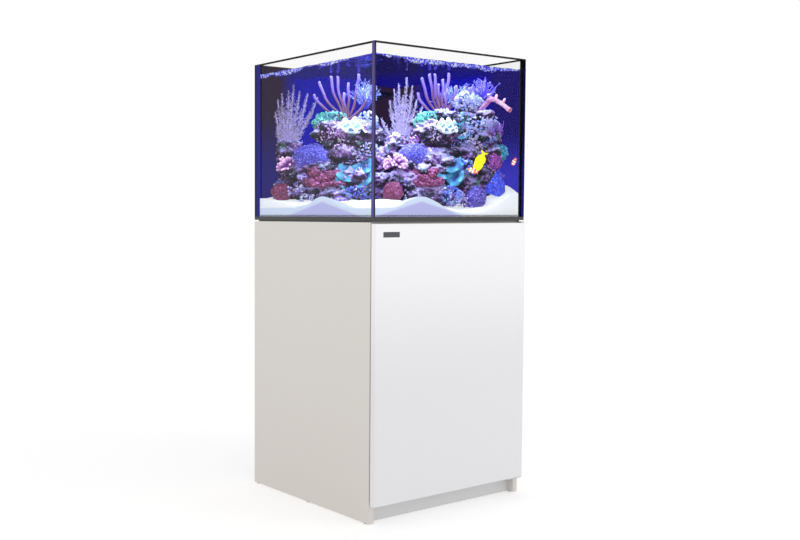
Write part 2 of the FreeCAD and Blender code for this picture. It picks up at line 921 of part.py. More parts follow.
def return_pump():
    x = s.outlet_spacing
    axis = sump_floor + s.pump_axis
    height = (sump_floor, sump_floor + s.pump_height)
    case = block((x - s.pump_half, x + s.pump_half), (0, s.pump_length), height)
    outlet = rod(s.pipe_bore, (x, 15, axis), 212 - axis)
    chamber = rod(s.chamber_radius, (x, -1, axis), s.chamber_depth + 1, ALONG_Y)
    magnet_room = rod(s.magnet_bore, (x, -1, axis), 71, ALONG_Y)
    waterway = rod(8, (x, 15, axis), 213 - axis)
    keep("pump_housing", cut(fuse(case, outlet), chamber, magnet_room, waterway))
    cover = [(9, 0), (s.pump_half - 1, 0), (s.pump_half - 1, 3), (14, 6), (9, 6)]
    keep("pump_cover", turned((x, 0, axis), cover, FreeCAD.Rotation(FreeCAD.Vector(1, 0, 0), 90)))
    rotor = new_body((x, 0, axis), ALONG_Y)
    pad(rotor, circle(new_sketch(rotor, "XY_Plane", 29), (0, 0), s.magnet_radius), 39)
    pad(rotor, circle(new_sketch(rotor, "XY_Plane", 4), (0, 0), 8), 26)
    blade = rectangle(new_sketch(rotor, "XY_Plane", 4), (5, s.impeller_radius), (-1.25, 1.25))
    vane = pad(rotor, blade, 23)
    pattern(rotor, "PolarPattern", vane, 6, Axis=(blade, ["N_Axis"]), Angle=360)
    keep("pump_impeller", rotor)


# ---------------------------------------------------------------- top-up


def float_valve():
    """A small valve body with a clevis, and the arm with its float."""
    x = s.sump_right - s.sump_glass - 10
    pivot_y = 142
    pivot_z = 310
    mount = block((x - 10, x + 10), (150, 170), (295, 340))
    ears = [block((a, a + 4), (136, 150), (304, 316)) for a in (x - 10, x + 6)]
    pin_hole = rod(s.arm_bore, (x - 11, pivot_y, pivot_z), 22, ALONG_X)
    keep("float_bracket", cut(fuse(mount, *ears), pin_hole))
    pin = rod(s.arm_radius, (x - 9.5, pivot_y, pivot_z), 19, ALONG_X)
    bar = block((x - 4, x + 4), (84, pivot_y + 4), (pivot_z - 3, pivot_z + 3))
    keep("float_arm", fuse(pin, bar, rod(s.float_radius, (x, 84, pivot_z - 14), 28)))


def top_up_reservoir():
    """A tall fresh-water box with a glued-on lid and a filler cap, and its feed tube."""
    wall = s.tank_wall
    x = (s.reservoir_left, s.reservoir_right)
    y = (s.sump_front, s.sump_back)
    top = cabinet_floor + s.reservoir_height
    under_lid = top - wall
    room = block(
        (s.reservoir_left + wall, s.reservoir_right - wall),
        (s.sump_front + wall, s.sump_back - wall),
        (cabinet_floor + wall, top),
    )
    keep("top_up_reservoir", cut(block(x, y, (cabinet_floor, under_lid)), room))
    filler = (210, -150)
    mouth = rod(s.filler_radius, (*filler, under_lid - 1), wall + 2)
    feed_x = s.reservoir_left + 24
    feed_y = 160
    tube_bore = length(2.5)
    feed = rod(tube_bore, (feed_x, feed_y, under_lid - 1), wall + 2)
    keep("reservoir_lid", cut(block(x, y, (under_lid, top)), mouth, feed))
    plug = s.filler_radius - 0.5
    cap = [(0, -14), (plug, -14), (plug, 0), (26, 0), (26, 9), (24, 10), (0, 10)]
    keep("reservoir_cap", turned((*filler, top), cap))
    across = s.sump_right - s.sump_glass - 10
    over = top + 20
    tube = [(across, 340), (across, over), (feed_x, over), (feed_x, top)]
    keep("top_up_tube", pipe((0, feed_y, 0), "XZ_Plane", tube, length(4), tube_bore, length(12)))


# ---------------------------------------------------------------- contents


def sand_bed():
    side = tank_inner - s.base_leg - 1
    near = pane_back + s.base_leg + 1
    far = rear_inner - s.base_leg - 1
    chamber = s.weir_half + 1
    lip = weir_front - 1
    corners = [
        (-side, near),
        (side, near),
        (side, far),
        (chamber, far),
        (chamber, lip),
        (-chamber, lip),
        (-chamber, far),
        (-side, far),
    ]
    keep("sand_bed", prism("XY_Plane", glass_low, corners, s.sand_depth))


def reef():
    """Live rock heaped from the back left to the front right, with coral colonies on it."""
    heaps = (
        ((60, -20, 950), (90, 70, 90)),
        ((170, -140, 940), (72, 60, 80)),
        ((-90, 60, 950), (80, 65, 90)),
        ((-200, 165, 930), (60, 60, 70)),
    )
    below = block((-tank_inner, tank_inner), (pane_back, rear_inner), (glass_low - 40, sand_top))
    keep("reef_rocks", group(*[cut(egg(*heap), below) for heap in heaps]))
    colonies = (
        ((60, -20, 1106), (60, 35, 64)),
        ((170, -140, 1076), (50, 40, 54)),
        ((-90, 60, 1122), (60, 35, 80)),
        ((-200, 165, 1076), (60, 30, 74)),
        ((-215, 60, 912), (30, 30, 25)),
        ((245, -60, 930), (30, 30, 43)),
    )
    keep("coral_colonies", group(*[egg(*colony) for colony in colonies]))
    swimmers = (
        ((152, -238, 1006), (16, 8, 26)),
        ((120, -248, 985), (13, 6, 9)),
        ((266, -255, 1010), (9, 6, 13)),
    )
    keep("fish", group(*[egg(*swimmer) for swimmer in swimmers]))


screw_rows = [
    (291, side_front + 12, s.cabinet_top, UPSIDE_DOWN),
    (291, side_front + 32, s.cabinet_top, UPSIDE_DOWN),
    (248, side_front + 9, plinth_top - s.plate_thick, UPRIGHT),
    (270, side_front + 9, plinth_top - s.plate_thick, UPRIGHT),
]
screws = keep("plate_screws", group(*[screw(*row) for row in screw_rows]))

side_panels()
horizontal_panels()
back_panel()
plinth()
floor_glides()
hinge_hardware()
push_latch()
door_panel()
door_fittings()
tank_base()
tank_panes()
corner_seams()
base_seam()
overflow_chamber()
bulkheads()
standpipes()
return_line()
nozzle()
under_tank_pipes()
flow_valve()
sump()
return_pump()
float_valve()
top_up_reservoir()
sand_bed()
reef()

doc.recompute()

for item in doc.Objects:
    if {"Invalid", "Error"} & set(item.State):
        raise RuntimeError(f"{item.Name} ({item.Label}) failed: {item.State}")

for item in sub_parts:
    if item.Shape.isNull() or not item.Shape.isValid():
        raise RuntimeError(f"{item.Label} has no valid shape")

os.makedirs("parts", exist_ok=True)
for item in sub_parts:
    item.Shape.exportStep(f"parts/{item.Label}.step")
    print(item.Label, len(item.Shape.Solids), round(item.Shape.Volume))
print(len(sub_parts), "sub-parts")
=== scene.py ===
"""The looks of a reef aquarium on its cabinet stand, built around the part's fixed frame."""

import json
import math
import random

import bmesh
import bpy
from mathutils import Euler, Matrix, Vector, kdtree, noise

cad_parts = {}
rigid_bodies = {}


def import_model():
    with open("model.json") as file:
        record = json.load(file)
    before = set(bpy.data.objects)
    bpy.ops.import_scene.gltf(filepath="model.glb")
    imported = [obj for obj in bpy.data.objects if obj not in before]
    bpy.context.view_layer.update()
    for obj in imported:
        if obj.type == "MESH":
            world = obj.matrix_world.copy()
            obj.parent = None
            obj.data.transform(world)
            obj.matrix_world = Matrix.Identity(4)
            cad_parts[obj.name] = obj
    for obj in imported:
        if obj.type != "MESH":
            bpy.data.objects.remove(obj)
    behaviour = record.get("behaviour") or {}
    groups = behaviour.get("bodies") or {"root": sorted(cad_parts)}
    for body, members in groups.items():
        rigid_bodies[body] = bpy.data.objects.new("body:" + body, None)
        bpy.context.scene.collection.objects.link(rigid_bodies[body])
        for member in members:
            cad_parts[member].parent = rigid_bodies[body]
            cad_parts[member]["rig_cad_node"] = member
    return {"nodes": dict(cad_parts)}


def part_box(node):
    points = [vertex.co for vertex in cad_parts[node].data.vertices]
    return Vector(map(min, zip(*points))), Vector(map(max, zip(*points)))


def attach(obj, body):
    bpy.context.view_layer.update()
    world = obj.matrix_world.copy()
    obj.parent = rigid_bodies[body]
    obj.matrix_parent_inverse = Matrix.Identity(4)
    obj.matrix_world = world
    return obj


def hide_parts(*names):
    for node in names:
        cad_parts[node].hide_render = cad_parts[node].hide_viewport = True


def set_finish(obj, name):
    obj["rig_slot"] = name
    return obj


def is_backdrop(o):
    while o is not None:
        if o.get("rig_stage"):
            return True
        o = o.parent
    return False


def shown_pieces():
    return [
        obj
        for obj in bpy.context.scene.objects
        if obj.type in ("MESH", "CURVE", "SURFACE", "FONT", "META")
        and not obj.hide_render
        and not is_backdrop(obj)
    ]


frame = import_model()

bl_info = {
    "name": "Reef aquarium looks",
    "version": (1, 0, 0),
    "blender": (4, 5, 0),
    "location": "3D View > Sidebar > Aquarium",
    "description": "Builds the water, reef, sand, fish, finishes and studio around the aquarium's frame.",
    "category": "Object",
}

ROOT = "cabinet_and_tank"
UP = Vector((0, 0, 1))

# The inside of the tank, in metres, from the panes and the floor of the frame.
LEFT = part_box("left_pane")[1].x
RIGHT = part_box("right_pane")[0].x
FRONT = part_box("front_pane")[1].y
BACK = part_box("rear_pane")[0].y
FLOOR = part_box("tank_bottom_pane")[1].z
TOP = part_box("front_pane")[1].z
WEIR_LOW, WEIR_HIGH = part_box("weir_box")

# The reef is a heap that crosses the tank from the rear left to the front right.
HEAP_START = Vector((-0.03, 0.028, FLOOR))
ALONG = Vector((0.74, -0.6726, 0)).normalized()
AHEAD = Vector((ALONG.y, -ALONG.x, 0))


def spot(along, ahead, up):
    """A place in the heap, from centimetres along it, towards its front and above the tank's floor."""
    return HEAP_START + (ALONG * along + AHEAD * ahead + UP * up) * 0.01


def polar(radius, angle, up):
    """A point at a distance and an angle from the upright axis."""
    return Vector((radius * math.cos(angle), radius * math.sin(angle), up))


def outward(rng, low):
    """A random direction that points no further down than low, from -1 to 1."""
    up = rng.uniform(low, 1)
    return polar(math.sqrt(1 - up * up), rng.uniform(0, math.tau), up)


def shade(red, green, blue):
    """A colour from everyday values of 0 to 255."""
    channels = [c / 255 for c in (red, green, blue)]
    linear = [c / 12.92 if c < 0.04 else ((c + 0.055) / 1.055) ** 2.4 for c in channels]
    return (*linear, 1.0)


def in_chamber(at, wall):
    """Whether a place is inside the overflow chamber's walls."""
    return abs(at.x) < WEIR_HIGH.x - wall and at.y > WEIR_LOW.y + wall


# ---------------------------------------------------------------- shader tools


class Value:
    """One shader socket, so that node maths reads like arithmetic."""

    def __init__(self, finish, socket):
        self.finish = finish
        self.socket = socket

    def maths(self, operation, first, second=0.0, clamp=False):
        settings = {"operation": operation, "use_clamp": clamp}
        return self.finish.make("ShaderNodeMath", settings, {0: first, 1: second})

    def __add__(self, other):
        return self.maths("ADD", self, other)

    def __radd__(self, other):
        return self.maths("ADD", other, self)

    def __sub__(self, other):
        return self.maths("SUBTRACT", self, other)

    def __rsub__(self, other):
        return self.maths("SUBTRACT", other, self)

    def __mul__(self, other):
        return self.maths("MULTIPLY", self, other)

    def __rmul__(self, other):
        return self.maths("MULTIPLY", other, self)

    def __truediv__(self, other):
        return self.maths("DIVIDE", self, other)

    def __rtruediv__(self, other):
        return self.maths("DIVIDE", other, self)

    def __abs__(self):
        return self.maths("ABSOLUTE", self)

    def at_least(self, other):
        return self.maths("MAXIMUM", self, other)

    def at_most(self, other):
        return self.maths("MINIMUM", self, other)


class Finish:
    """One material, or the world, and the nodes that make it."""

    def __init__(self, name, owner=None):
        self.owner = owner or bpy.data.materials.new(name)
        self.owner.use_nodes = True
        self.tree = self.owner.node_tree
        self.tree.nodes.clear()

    def make(self, kind, settings=None, inputs=None, output=0):
        """Adds a node, sets it up, joins its inputs and gives one of its outputs."""
        node = self.tree.nodes.new(kind)
        for name, value in (settings or {}).items():
            setattr(node, name, value)
        for name, value in (inputs or {}).items():
            if isinstance(value, Value):
                self.tree.links.new(value.socket, node.inputs[name])
            else:
                node.inputs[name].default_value = value
        return Value(self, node.outputs[output] if node.outputs else None)

    def place(self):
        return self.make("ShaderNodeTexCoord", output="Object")

    def axis(self, name, of=None):
        return self.make("ShaderNodeSeparateXYZ", inputs={0: of or self.place()}, output=name)

    def facing(self, name):
        """How far the surface faces along one axis of the object."""
        return self.axis(name, self.make("ShaderNodeTexCoord", output="Normal"))

    def mask(self, value, low, high):
        """0 below low and 1 above high, with a soft step between; low may be above high."""
        settings = {"interpolation_type": "SMOOTHSTEP", "clamp": True}
        return self.make("ShaderNodeMapRange", settings, {0: value, 1: low, 2: high, 3: 0.0, 4: 1.0})

    def blend(self, share, first, second, how="MIX"):
        settings = {"data_type": "RGBA", "blend_type": how}
        return self.make("ShaderNodeMix", settings, {0: share, 6: first, 7: second}, 2)

    def noise(self, scale, detail=3.0, rough=0.5, at=None, stretch=None):
        where = at or self.place()
        if stretch:
            where = self.make("ShaderNodeVectorMath", {"operation": "MULTIPLY"}, {0: where, 1: stretch})
        inputs = {"Vector": where, "Scale": scale, "Detail": detail, "Roughness": rough}
        return self.make("ShaderNodeTexNoise", None, inputs)

    def cells(self, scale, feature="F1", output="Distance"):
        inputs = {"Vector": self.place(), "Scale": scale}
        return self.make("ShaderNodeTexVoronoi", {"feature": feature}, inputs, output)

    def layer(self, name, output="Fac"):
        """A value or colour stored on the mesh."""
        return self.make("ShaderNodeAttribute", {"attribute_name": name}, None, output)

    def bump(self, height, depth, strength=1.0):
        inputs = {"Height": height, "Distance": depth, "Strength": strength}
        return self.make("ShaderNodeBump", None, inputs, "Normal")

    def surface(self, colour, roughness, **more):
        """A Principled surface; more inputs are given with underscores for spaces."""
        inputs = {"Base Color": colour, "Roughness": roughness}
        inputs.update({name.replace("_", " "): value for name, value in more.items()})
        return self.make("ShaderNodeBsdfPrincipled", None, inputs)

    def mixed(self, share, first, second):
        return self.make("ShaderNodeMixShader", None, {0: share, 1: first, 2: second})

    def glow(self, colour, strength=1.0):
        return self.make("ShaderNodeEmission", None, {"Color": colour, "Strength": strength})

    def clear(self, colour=(1, 1, 1, 1)):
        return self.make("ShaderNodeBsdfTransparent", None, {"Color": colour})

    def mirror(self, colour=(1, 1, 1, 1), roughness=0.0):
        return self.make("ShaderNodeBsdfAnisotropic", None, {"Color": colour, "Roughness": roughness})

    def fresnel(self, ior):
        return self.make("ShaderNodeFresnel", None, {"IOR": ior})

    def done(self, shader):
        self.make("ShaderNodeOutputMaterial", None, {"Surface": shader})
        return self.owner


def painted(name, colour, roughness, grain=0.04, grain_scale=300.0, relief=0.0, **more):
    """A plain finish with a little variation in tone, gloss and relief."""
    f = Finish(name)
    speck = f.noise(grain_scale, 4.0)
    tone = f.blend(speck * grain, colour, (0, 0, 0, 1))
    if relief:
        more["Normal"] = f.bump(speck, relief)
    return f.done(f.surface(tone, roughness + (speck - 0.5) * 0.08, **more))


def dress(nodes, material):
    for node in nodes:
        mesh = frame["nodes"][node].data
        mesh.materials.clear()
        mesh.materials.append(material)


def soften(nodes, width, segments=2):
    """Rounds the crisp edges of board and sheet parts by a hair."""
    for node in nodes:
        bevel = frame["nodes"][node].modifiers.new("Eased edges", "BEVEL")
        bevel.width = width
        bevel.segments = segments
        bevel.limit_method = "ANGLE"
        bevel.angle_limit = math.radians(50)


# ---------------------------------------------------------------- mesh tools


def finished(name, bm, material, slot, smooth=True, recalc=True):
    """Makes a bmesh into a piece of the object, in place and riding on the tank."""
    if recalc:
        bmesh.ops.recalc_face_normals(bm, faces=bm.faces)
    for face in bm.faces:
        face.smooth = smooth
    mesh = bpy.data.meshes.new(name)
    bm.to_mesh(mesh)
    bm.free()
    return placed(name, mesh, material, slot)


def placed(name, mesh, material, slot):
    mesh.name = name
    mesh.materials.clear()
    mesh.materials.append(material)
    made = bpy.data.objects.new(name, mesh)
    bpy.context.scene.collection.objects.link(made)
    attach(made, ROOT)
    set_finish(made, slot)
    return made


def baked(data, change=None):
    """The mesh that a curve or mesh gives once its bevel and modifiers are worked out."""
    holder = bpy.data.objects.new("holder", data)
    bpy.context.scene.collection.objects.link(holder)
    if change:
        change(holder)
    bpy.context.view_layer.update()
    graph = bpy.context.evaluated_depsgraph_get()
    mesh = bpy.data.meshes.new_from_object(holder.evaluated_get(graph))
    bpy.data.objects.remove(holder)
    return mesh


def ball(bm, centre, radii, level=3, turn=(0, 0, 0)):
    """A round or stretched ball; radii is one number or three."""
    sizes = (radii,) * 3 if isinstance(radii, float) else radii
    place = Matrix.LocRotScale(Vector(centre), Euler(turn), Vector(sizes))
    return bmesh.ops.create_icosphere(bm, subdivisions=level, radius=1.0, matrix=place)["verts"]


def skinned(bm, size):
    """One outer skin round shapes that overlap."""
    rough = bpy.data.meshes.new("rough")
    bm.to_mesh(rough)
    bm.free()

    def remesh(holder):
        modifier = holder.modifiers.new("Skin", "REMESH")
        modifier.mode = "VOXEL"
        modifier.voxel_size = size

    made = bmesh.new()
    made.from_mesh(baked(rough, remesh))
    return made


def roughened(bm, depth, scale, seed=0, octaves=4):
    """Pushes the skin in and out by fractal noise."""
    bm.normal_update()
    offset = Vector((seed * 3.7, seed * 1.3, -seed * 2.1))
    for vert in bm.verts:
        lift = noise.fractal(vert.co * scale + offset, 1.0, 2.0, octaves)
        vert.co += vert.normal * lift * depth


def pimpled(bm, depth, scale):
    """Raises a round knob in every cell of a cell pattern and stores its height as the tip layer."""
    bm.normal_update()
    tip = bm.verts.layers.float.get("tip") or bm.verts.layers.float.new("tip")
    for vert in bm.verts:
        near = noise.voronoi(vert.co * scale)[0]
        rise = min(1.0, (near[1] - near[0]) * 1.6)
        vert[tip] = rise
        vert.co += vert.normal * rise * depth


def sheeted(bm, around, across, shape, closed=True, thickness=0.0):
    """Bends a flat grid to shape(turn, rise), each from 0 to 1; a closed one meets itself."""
    grid = bmesh.ops.create_grid(bm, x_segments=around, y_segments=across, size=0.5)["verts"]
    faces = list({face for vert in grid for face in vert.link_faces})
    tip = bm.verts.layers.float.get("tip")
    for vert in grid:
        turn, rise = vert.co.x + 0.5, vert.co.y + 0.5
        vert.co = shape(turn, rise)
        if tip:
            vert[tip] = rise
    if closed:
        bmesh.ops.remove_doubles(bm, verts=grid, dist=1e-5)
    if thickness:
        faces = [face for face in faces if face.is_valid]
        bmesh.ops.recalc_face_normals(bm, faces=faces)
        bmesh.ops.solidify(bm, geom=faces, thickness=thickness)


def tubes(name, strands, material, slot, sides=1):
    """Round tubes along strands of (point, radius, tip), as one mesh with the tip layer."""
    curve = bpy.data.curves.new(name, "CURVE")
    curve.dimensions = "3D"
    curve.bevel_depth = 1.0
    curve.bevel_resolution = sides
    curve.use_fill_caps = True
    tree = kdtree.KDTree(sum(len(strand) for strand in strands))
    tips = []
    for strand in strands:
        spline = curve.splines.new("POLY")
        spline.points.add(len(strand) - 1)
        for knot, (point, radius, tip) in zip(spline.points, strand):
            knot.co = (*point, 1.0)
            knot.radius = radius
            tree.insert(point, len(tips))
            tips.append(tip)
    tree.balance()
    mesh = baked(curve)
    layer = mesh.attributes.new("tip", "FLOAT", "POINT")
    layer.data.foreach_set("value", [tips[tree.find(vert.co)[1]] for vert in mesh.vertices])
    mesh.shade_smooth()
    return placed(name, mesh, material, slot)


def arched(start, bend, end, steps):
    """Points along a curve that leaves start towards bend and then turns to end."""
    shares = [i / steps for i in range(steps + 1)]
    return [start.lerp(bend, t).lerp(bend.lerp(end, t), t) for t in shares]


def grow(strands, rng, start, heading, length, radius, order, habit):
    """Adds one branch with its side branches; habit holds how a species grows."""
    steps = max(3, round(length / habit["step"]))
    flat = habit.get("flat")
    strand = []
    point = Vector(start)
    heading = Vector(heading).normalized()
    for i in range(steps + 1):
        share = i / steps
        tip = share if order == 0 else 0.35 * share
        strand.append((point.copy(), radius * (1 - habit["taper"] * share), tip))
        if order and share > habit["bare"] and rng.random() < habit["sides"]:
            side = Vector((rng.gauss(0, 1), rng.gauss(0, 1), rng.gauss(0, 1)))
            if flat:
                side = flat * rng.choice((-1, 1)) + side * 0.25
            out = heading * habit["forward"] + side.normalized() + UP * habit["lift"]
            reach = length * rng.uniform(*habit["reach"]) * (1 - 0.4 * share)
            grow(strands, rng, point, out, reach, strand[-1][1] * habit["thin"], order - 1, habit)
        sway = Vector((rng.gauss(0, 1), rng.gauss(0, 1), rng.gauss(0, 1))) * habit["sway"]
        if flat:
            sway -= AHEAD * sway.dot(AHEAD) * 0.8
        heading = (heading + sway + UP * habit["lift"] * 0.15).normalized()
        point = point + heading * (length / steps)
    strand.append((point + heading * radius * 0.3, radius * 0.35, 1.0 if order == 0 else 0.4))
    strands.append(strand)


def stamped(bm, shape, place, tint):
    """Adds a copy of a small shape, in one colour."""
    copy = shape.copy()
    copy.transform(place)
    copy.attributes["tint"].data.foreach_set("color", list(tint) * len(copy.vertices))
    bm.from_mesh(copy)
    bpy.data.meshes.remove(copy)


def seated(bm, place, turn):
    """Turns a shape that was made at the origin and moves it to its place in the heap."""
    bmesh.ops.transform(bm, matrix=Matrix.Translation(spot(*place)) @ turn, verts=bm.verts)


def small_ball(level=1):
    """A low ball to copy many times."""
    bm = bmesh.new()
    bm.verts.layers.float_color.new("tint")
    ball(bm, (0, 0, 0), 1.0, level)
    mesh = bpy.data.meshes.new("small ball")
    bm.to_mesh(mesh)
    bm.free()
    return mesh


def small_cup():
    """A polyp to copy many times: a short flared cup with an eye in the middle."""
    bm = bmesh.new()
    bm.verts.layers.float_color.new("tint")
    profile = [(0.0, 0.45), (0.3, 0.5), (0.75, 0.9), (1.0, 1.0), (0.9, 0.75), (0.5, 0.0), (0.45, -0.5)]

    def shape(turn, rise):
        at = rise * (len(profile) - 1)
        low = min(int(at), len(profile) - 2)
        (r0, z0), (r1, z1) = profile[low], profile[low + 1]
        part = at - low
        return polar(r0 + (r1 - r0) * part, turn * math.tau, z0 + (z1 - z0) * part)

    sheeted(bm, 8, len(profile) - 1, shape)
    mesh = bpy.data.meshes.new("small cup")
    bm.to_mesh(mesh)
    bm.free()
    return mesh


# ---------------------------------------------------------------- finishes of live things


def living(name, body, tip, glow=0.35, speckle=0.5, scale=220.0, relief=0.0008, roughness=0.6):
    """A coral's flesh: body colour to tip colour by the tip layer, with fine speckles and a painted glow of
    the flesh colour that stands in for the reef light.
    """
    f = Finish(name)
    grain = f.noise(scale, 2.0, 0.6)
    share = (f.layer("tip") + (grain - 0.5) * speckle).at_least(0.0).at_most(1.0)
    broad = f.noise(28.0, 2.0)
    colour = f.blend(share, body, tip)
    colour = f.blend((broad - 0.35).at_least(0.0) * 0.9, colour, tuple(c * 0.35 for c in body[:3]) + (1,))
    # Painted light: the emission lights the coral up in its own colour, as strongly as glow says.
    more = {"Emission_Color": colour, "Emission_Strength": glow}
    return f.done(f.surface(colour, roughness, Normal=f.bump(grain, relief), **more))


def tinted(name, glow=0.35, roughness=0.5):
    """Flesh in the colour stored on the mesh, with a painted glow of that colour."""
    f = Finish(name)
    grain = f.noise(400.0, 2.0)
    colour = f.blend(grain * 0.6, f.layer("tint", "Color"), (0.02, 0.01, 0.06, 1))
    # Painted light: the emission lights the flesh up in its own colour.
    more = {"Emission_Color": colour, "Emission_Strength": glow}
    return f.done(f.surface(colour, roughness, Normal=f.bump(grain, 0.0006), **more))


def live_rock():
    """Rock under growth: random dark patches that stand in for the shade in caves, mauve growth, pale patches
    and green film; a pale coat on upward faces that is partly painted top light, painted shade in the pits
    and under overhangs, and a faint painted glow.
    """
    f = Finish("Live rock")
    broad = f.noise(22.0, 4.0, 0.6)
    fine = f.noise(130.0, 5.0, 0.65)
    cells = f.cells(75.0)
    dark = shade(46, 38, 58)
    mauve = shade(142, 96, 168)
    pale = shade(206, 196, 240)
    green = shade(96, 150, 140)
    # Random dark patches stand in for the shade in caves: painted shade.
    colour = f.blend(f.mask(broad, 0.44, 0.66), dark, mauve)
    colour = f.blend(f.mask(fine, 0.54, 0.7) * 0.7, colour, pale)
    colour = f.blend(f.mask(f.noise(37.0, 3.0), 0.56, 0.7) * 0.6, colour, green)
    # Painted shade: the pits of the cell pattern, which the bump sinks, are darkened.
    colour = f.blend(f.mask(cells, 0.45, 0.05) * 0.55, colour, shade(28, 20, 52))
    # Partly painted top light: faces that point up get a pale coat, for real growth and for the light that
    # falls on top.
    crust_and_top_light = f.mask(f.facing("Z") + (broad - 0.5) * 1.6, 0.2, 0.8)
    colour = f.blend(crust_and_top_light * 0.75, colour, f.blend(fine, shade(96, 84, 190), shade(226, 220, 252)))
    # Painted shade: faces that point down turn nearly black, as under overhangs.
    colour = f.blend(f.mask(f.facing("Z"), 0.25, -0.4) * 0.9, colour, shade(14, 10, 26))
    height = fine + cells * 0.6
    # Painted light: a faint glow of the rock's own colour.
    more = {"Emission_Color": colour, "Emission_Strength": 0.2, "Normal": f.bump(height, 0.006)}
    return f.done(f.surface(colour, 0.85, **more))


# ---------------------------------------------------------------- settings


class AquariumSettings(bpy.types.PropertyGroup):
    water_level: bpy.props.FloatProperty(
        name="Water level",
        description="Height of the water's surface above the floor that the stand is on",
        default=1.288,
        unit="LENGTH",
    )
    ripple: bpy.props.FloatProperty(
        name="Ripple height",
        description="Height of the ripples on the water's surface",
        default=0.0022,
        unit="LENGTH",
    )
    polyps: bpy.props.IntProperty(
        name="Polyps on the rock",
        description="How many small polyps are scattered over the rocks",
        default=900,
        min=0,
    )
    # The backdrop film's blue is a painted glow; this sets its strength.
    backdrop_glow: bpy.props.FloatProperty(
        name="Backdrop glow",
        description="How brightly the blue backdrop film shows behind the water",
        default=1.0,
        min=0.0,
    )
    lamp_power: bpy.props.FloatProperty(
        name="Reef lamp power",
        description="Power of the blue-white lamp over the reef",
        default=15.0,
        unit="POWER",
    )
    key_power: bpy.props.FloatProperty(
        name="Key light power",
        description="Power of the soft studio light at the front right",
        default=16.0,
        unit="POWER",
    )
    studio_fill: bpy.props.FloatProperty(
        name="Studio fill",
        description="Brightness of the white studio round the object",
        default=0.78,
        min=0.0,
    )


def settings():
    return bpy.context.scene.aquarium_looks


class AquariumStep(bpy.types.Operator):
    """The parts that every step of the build shares"""

    bl_idname = "aquarium.step"
    bl_label = "Aquarium step"
    bl_options = {"REGISTER", "UNDO"}

    def execute(self, context):
        self.build()
        return {"FINISHED"}

    def build(self):
        raise NotImplementedError


# ---------------------------------------------------------------- cabinet


class AQUARIUM_OT_cabinet(AquariumStep):
    """Finishes the cabinet, the door and their hardware"""

    bl_idname = "aquarium.cabinet"
    bl_label = "Cabinet and door"

    def build(self):
        sides = ["left_side_panel", "right_side_panel", "top_panel", "bottom_panel"]
        plinths = ["plinth_board", "rear_plinth_board"]
        dress(sides, self.laminate())
        # Painted shade: the plinth boards are a cooler, darker grey than the sides, for the shadow they sit
        # in under the door.
        dress(plinths, painted("Plinth grey from painted shade", shade(212, 212, 213), 0.42, 0.03, 700.0, 0.00006))
        dress(["back_panel"], painted("Grey laminate", shade(176, 177, 178), 0.55, relief=0.0002))
        dress(["door_panel"], self.lacquer())
        steel = painted("Bright steel", shade(196, 197, 200), 0.28, 0.1, 500.0, Metallic=1.0)
        dress(["plate_screws", "pivot_pins", "top_pivot_plate", "bottom_pivot_plate", "latch_strike"], steel)
        nylon = painted("White nylon", shade(232, 232, 228), 0.42, 0.03)
        dress(["pivot_bushes", "latch_housing", "latch_plunger"], nylon)
        dress(["floor_glides", "door_bumpers"], painted("Glide plastic", shade(58, 58, 60), 0.5, 0.1))
        dress(["door_badge"], self.badge())
        soften([*sides, *plinths, "back_panel"], 0.0005)
        soften(["door_panel"], 0.0009, 3)

    def laminate(self):
        """Warm white melamine, with painted shade that darkens it towards the floor."""
        f = Finish("White laminate")
        speck = f.noise(700.0, 3.0)
        # Painted shade: the panels darken towards the floor.
        low = f.mask(f.axis("Z"), 0.85, 0.0)
        colour = f.blend(low * 0.8, shade(226, 222, 216), shade(216, 210, 204))
        colour = f.blend(speck * 0.03, colour, (0, 0, 0, 1))
        return f.done(f.surface(colour, 0.42 + speck * 0.1, Normal=f.bump(speck, 0.00006)))

    def lacquer(self):
        """Gloss white lacquer with a faint orange-peel relief and painted shade that darkens it towards the
        bottom.
        """
        f = Finish("Door lacquer")
        peel = f.noise(90.0, 1.0)
        # Painted shade: the door is brighter high up and greyer low down.
        high = f.mask(f.axis("Z"), 0.35, 0.85)
        colour = f.blend(high, shade(228, 228, 231), shade(251, 251, 253))
        bump = f.bump(peel, 0.00004, 0.6)
        return f.done(f.surface(colour, 0.16, Normal=bump, Coat_Weight=0.6, Coat_Roughness=0.05))

    def badge(self):
        """A small dark plate with brushed lines and no lettering."""
        f = Finish("Badge plate")
        lines = f.noise(60.0, 3.0, 0.5, stretch=(0.4, 1.0, 30.0))
        colour = f.blend(lines, shade(58, 60, 66), shade(112, 114, 122))
        return f.done(f.surface(colour, 0.34, Metallic=0.7, Normal=f.bump(lines, 0.0001)))


# ---------------------------------------------------------------- sump and pipes


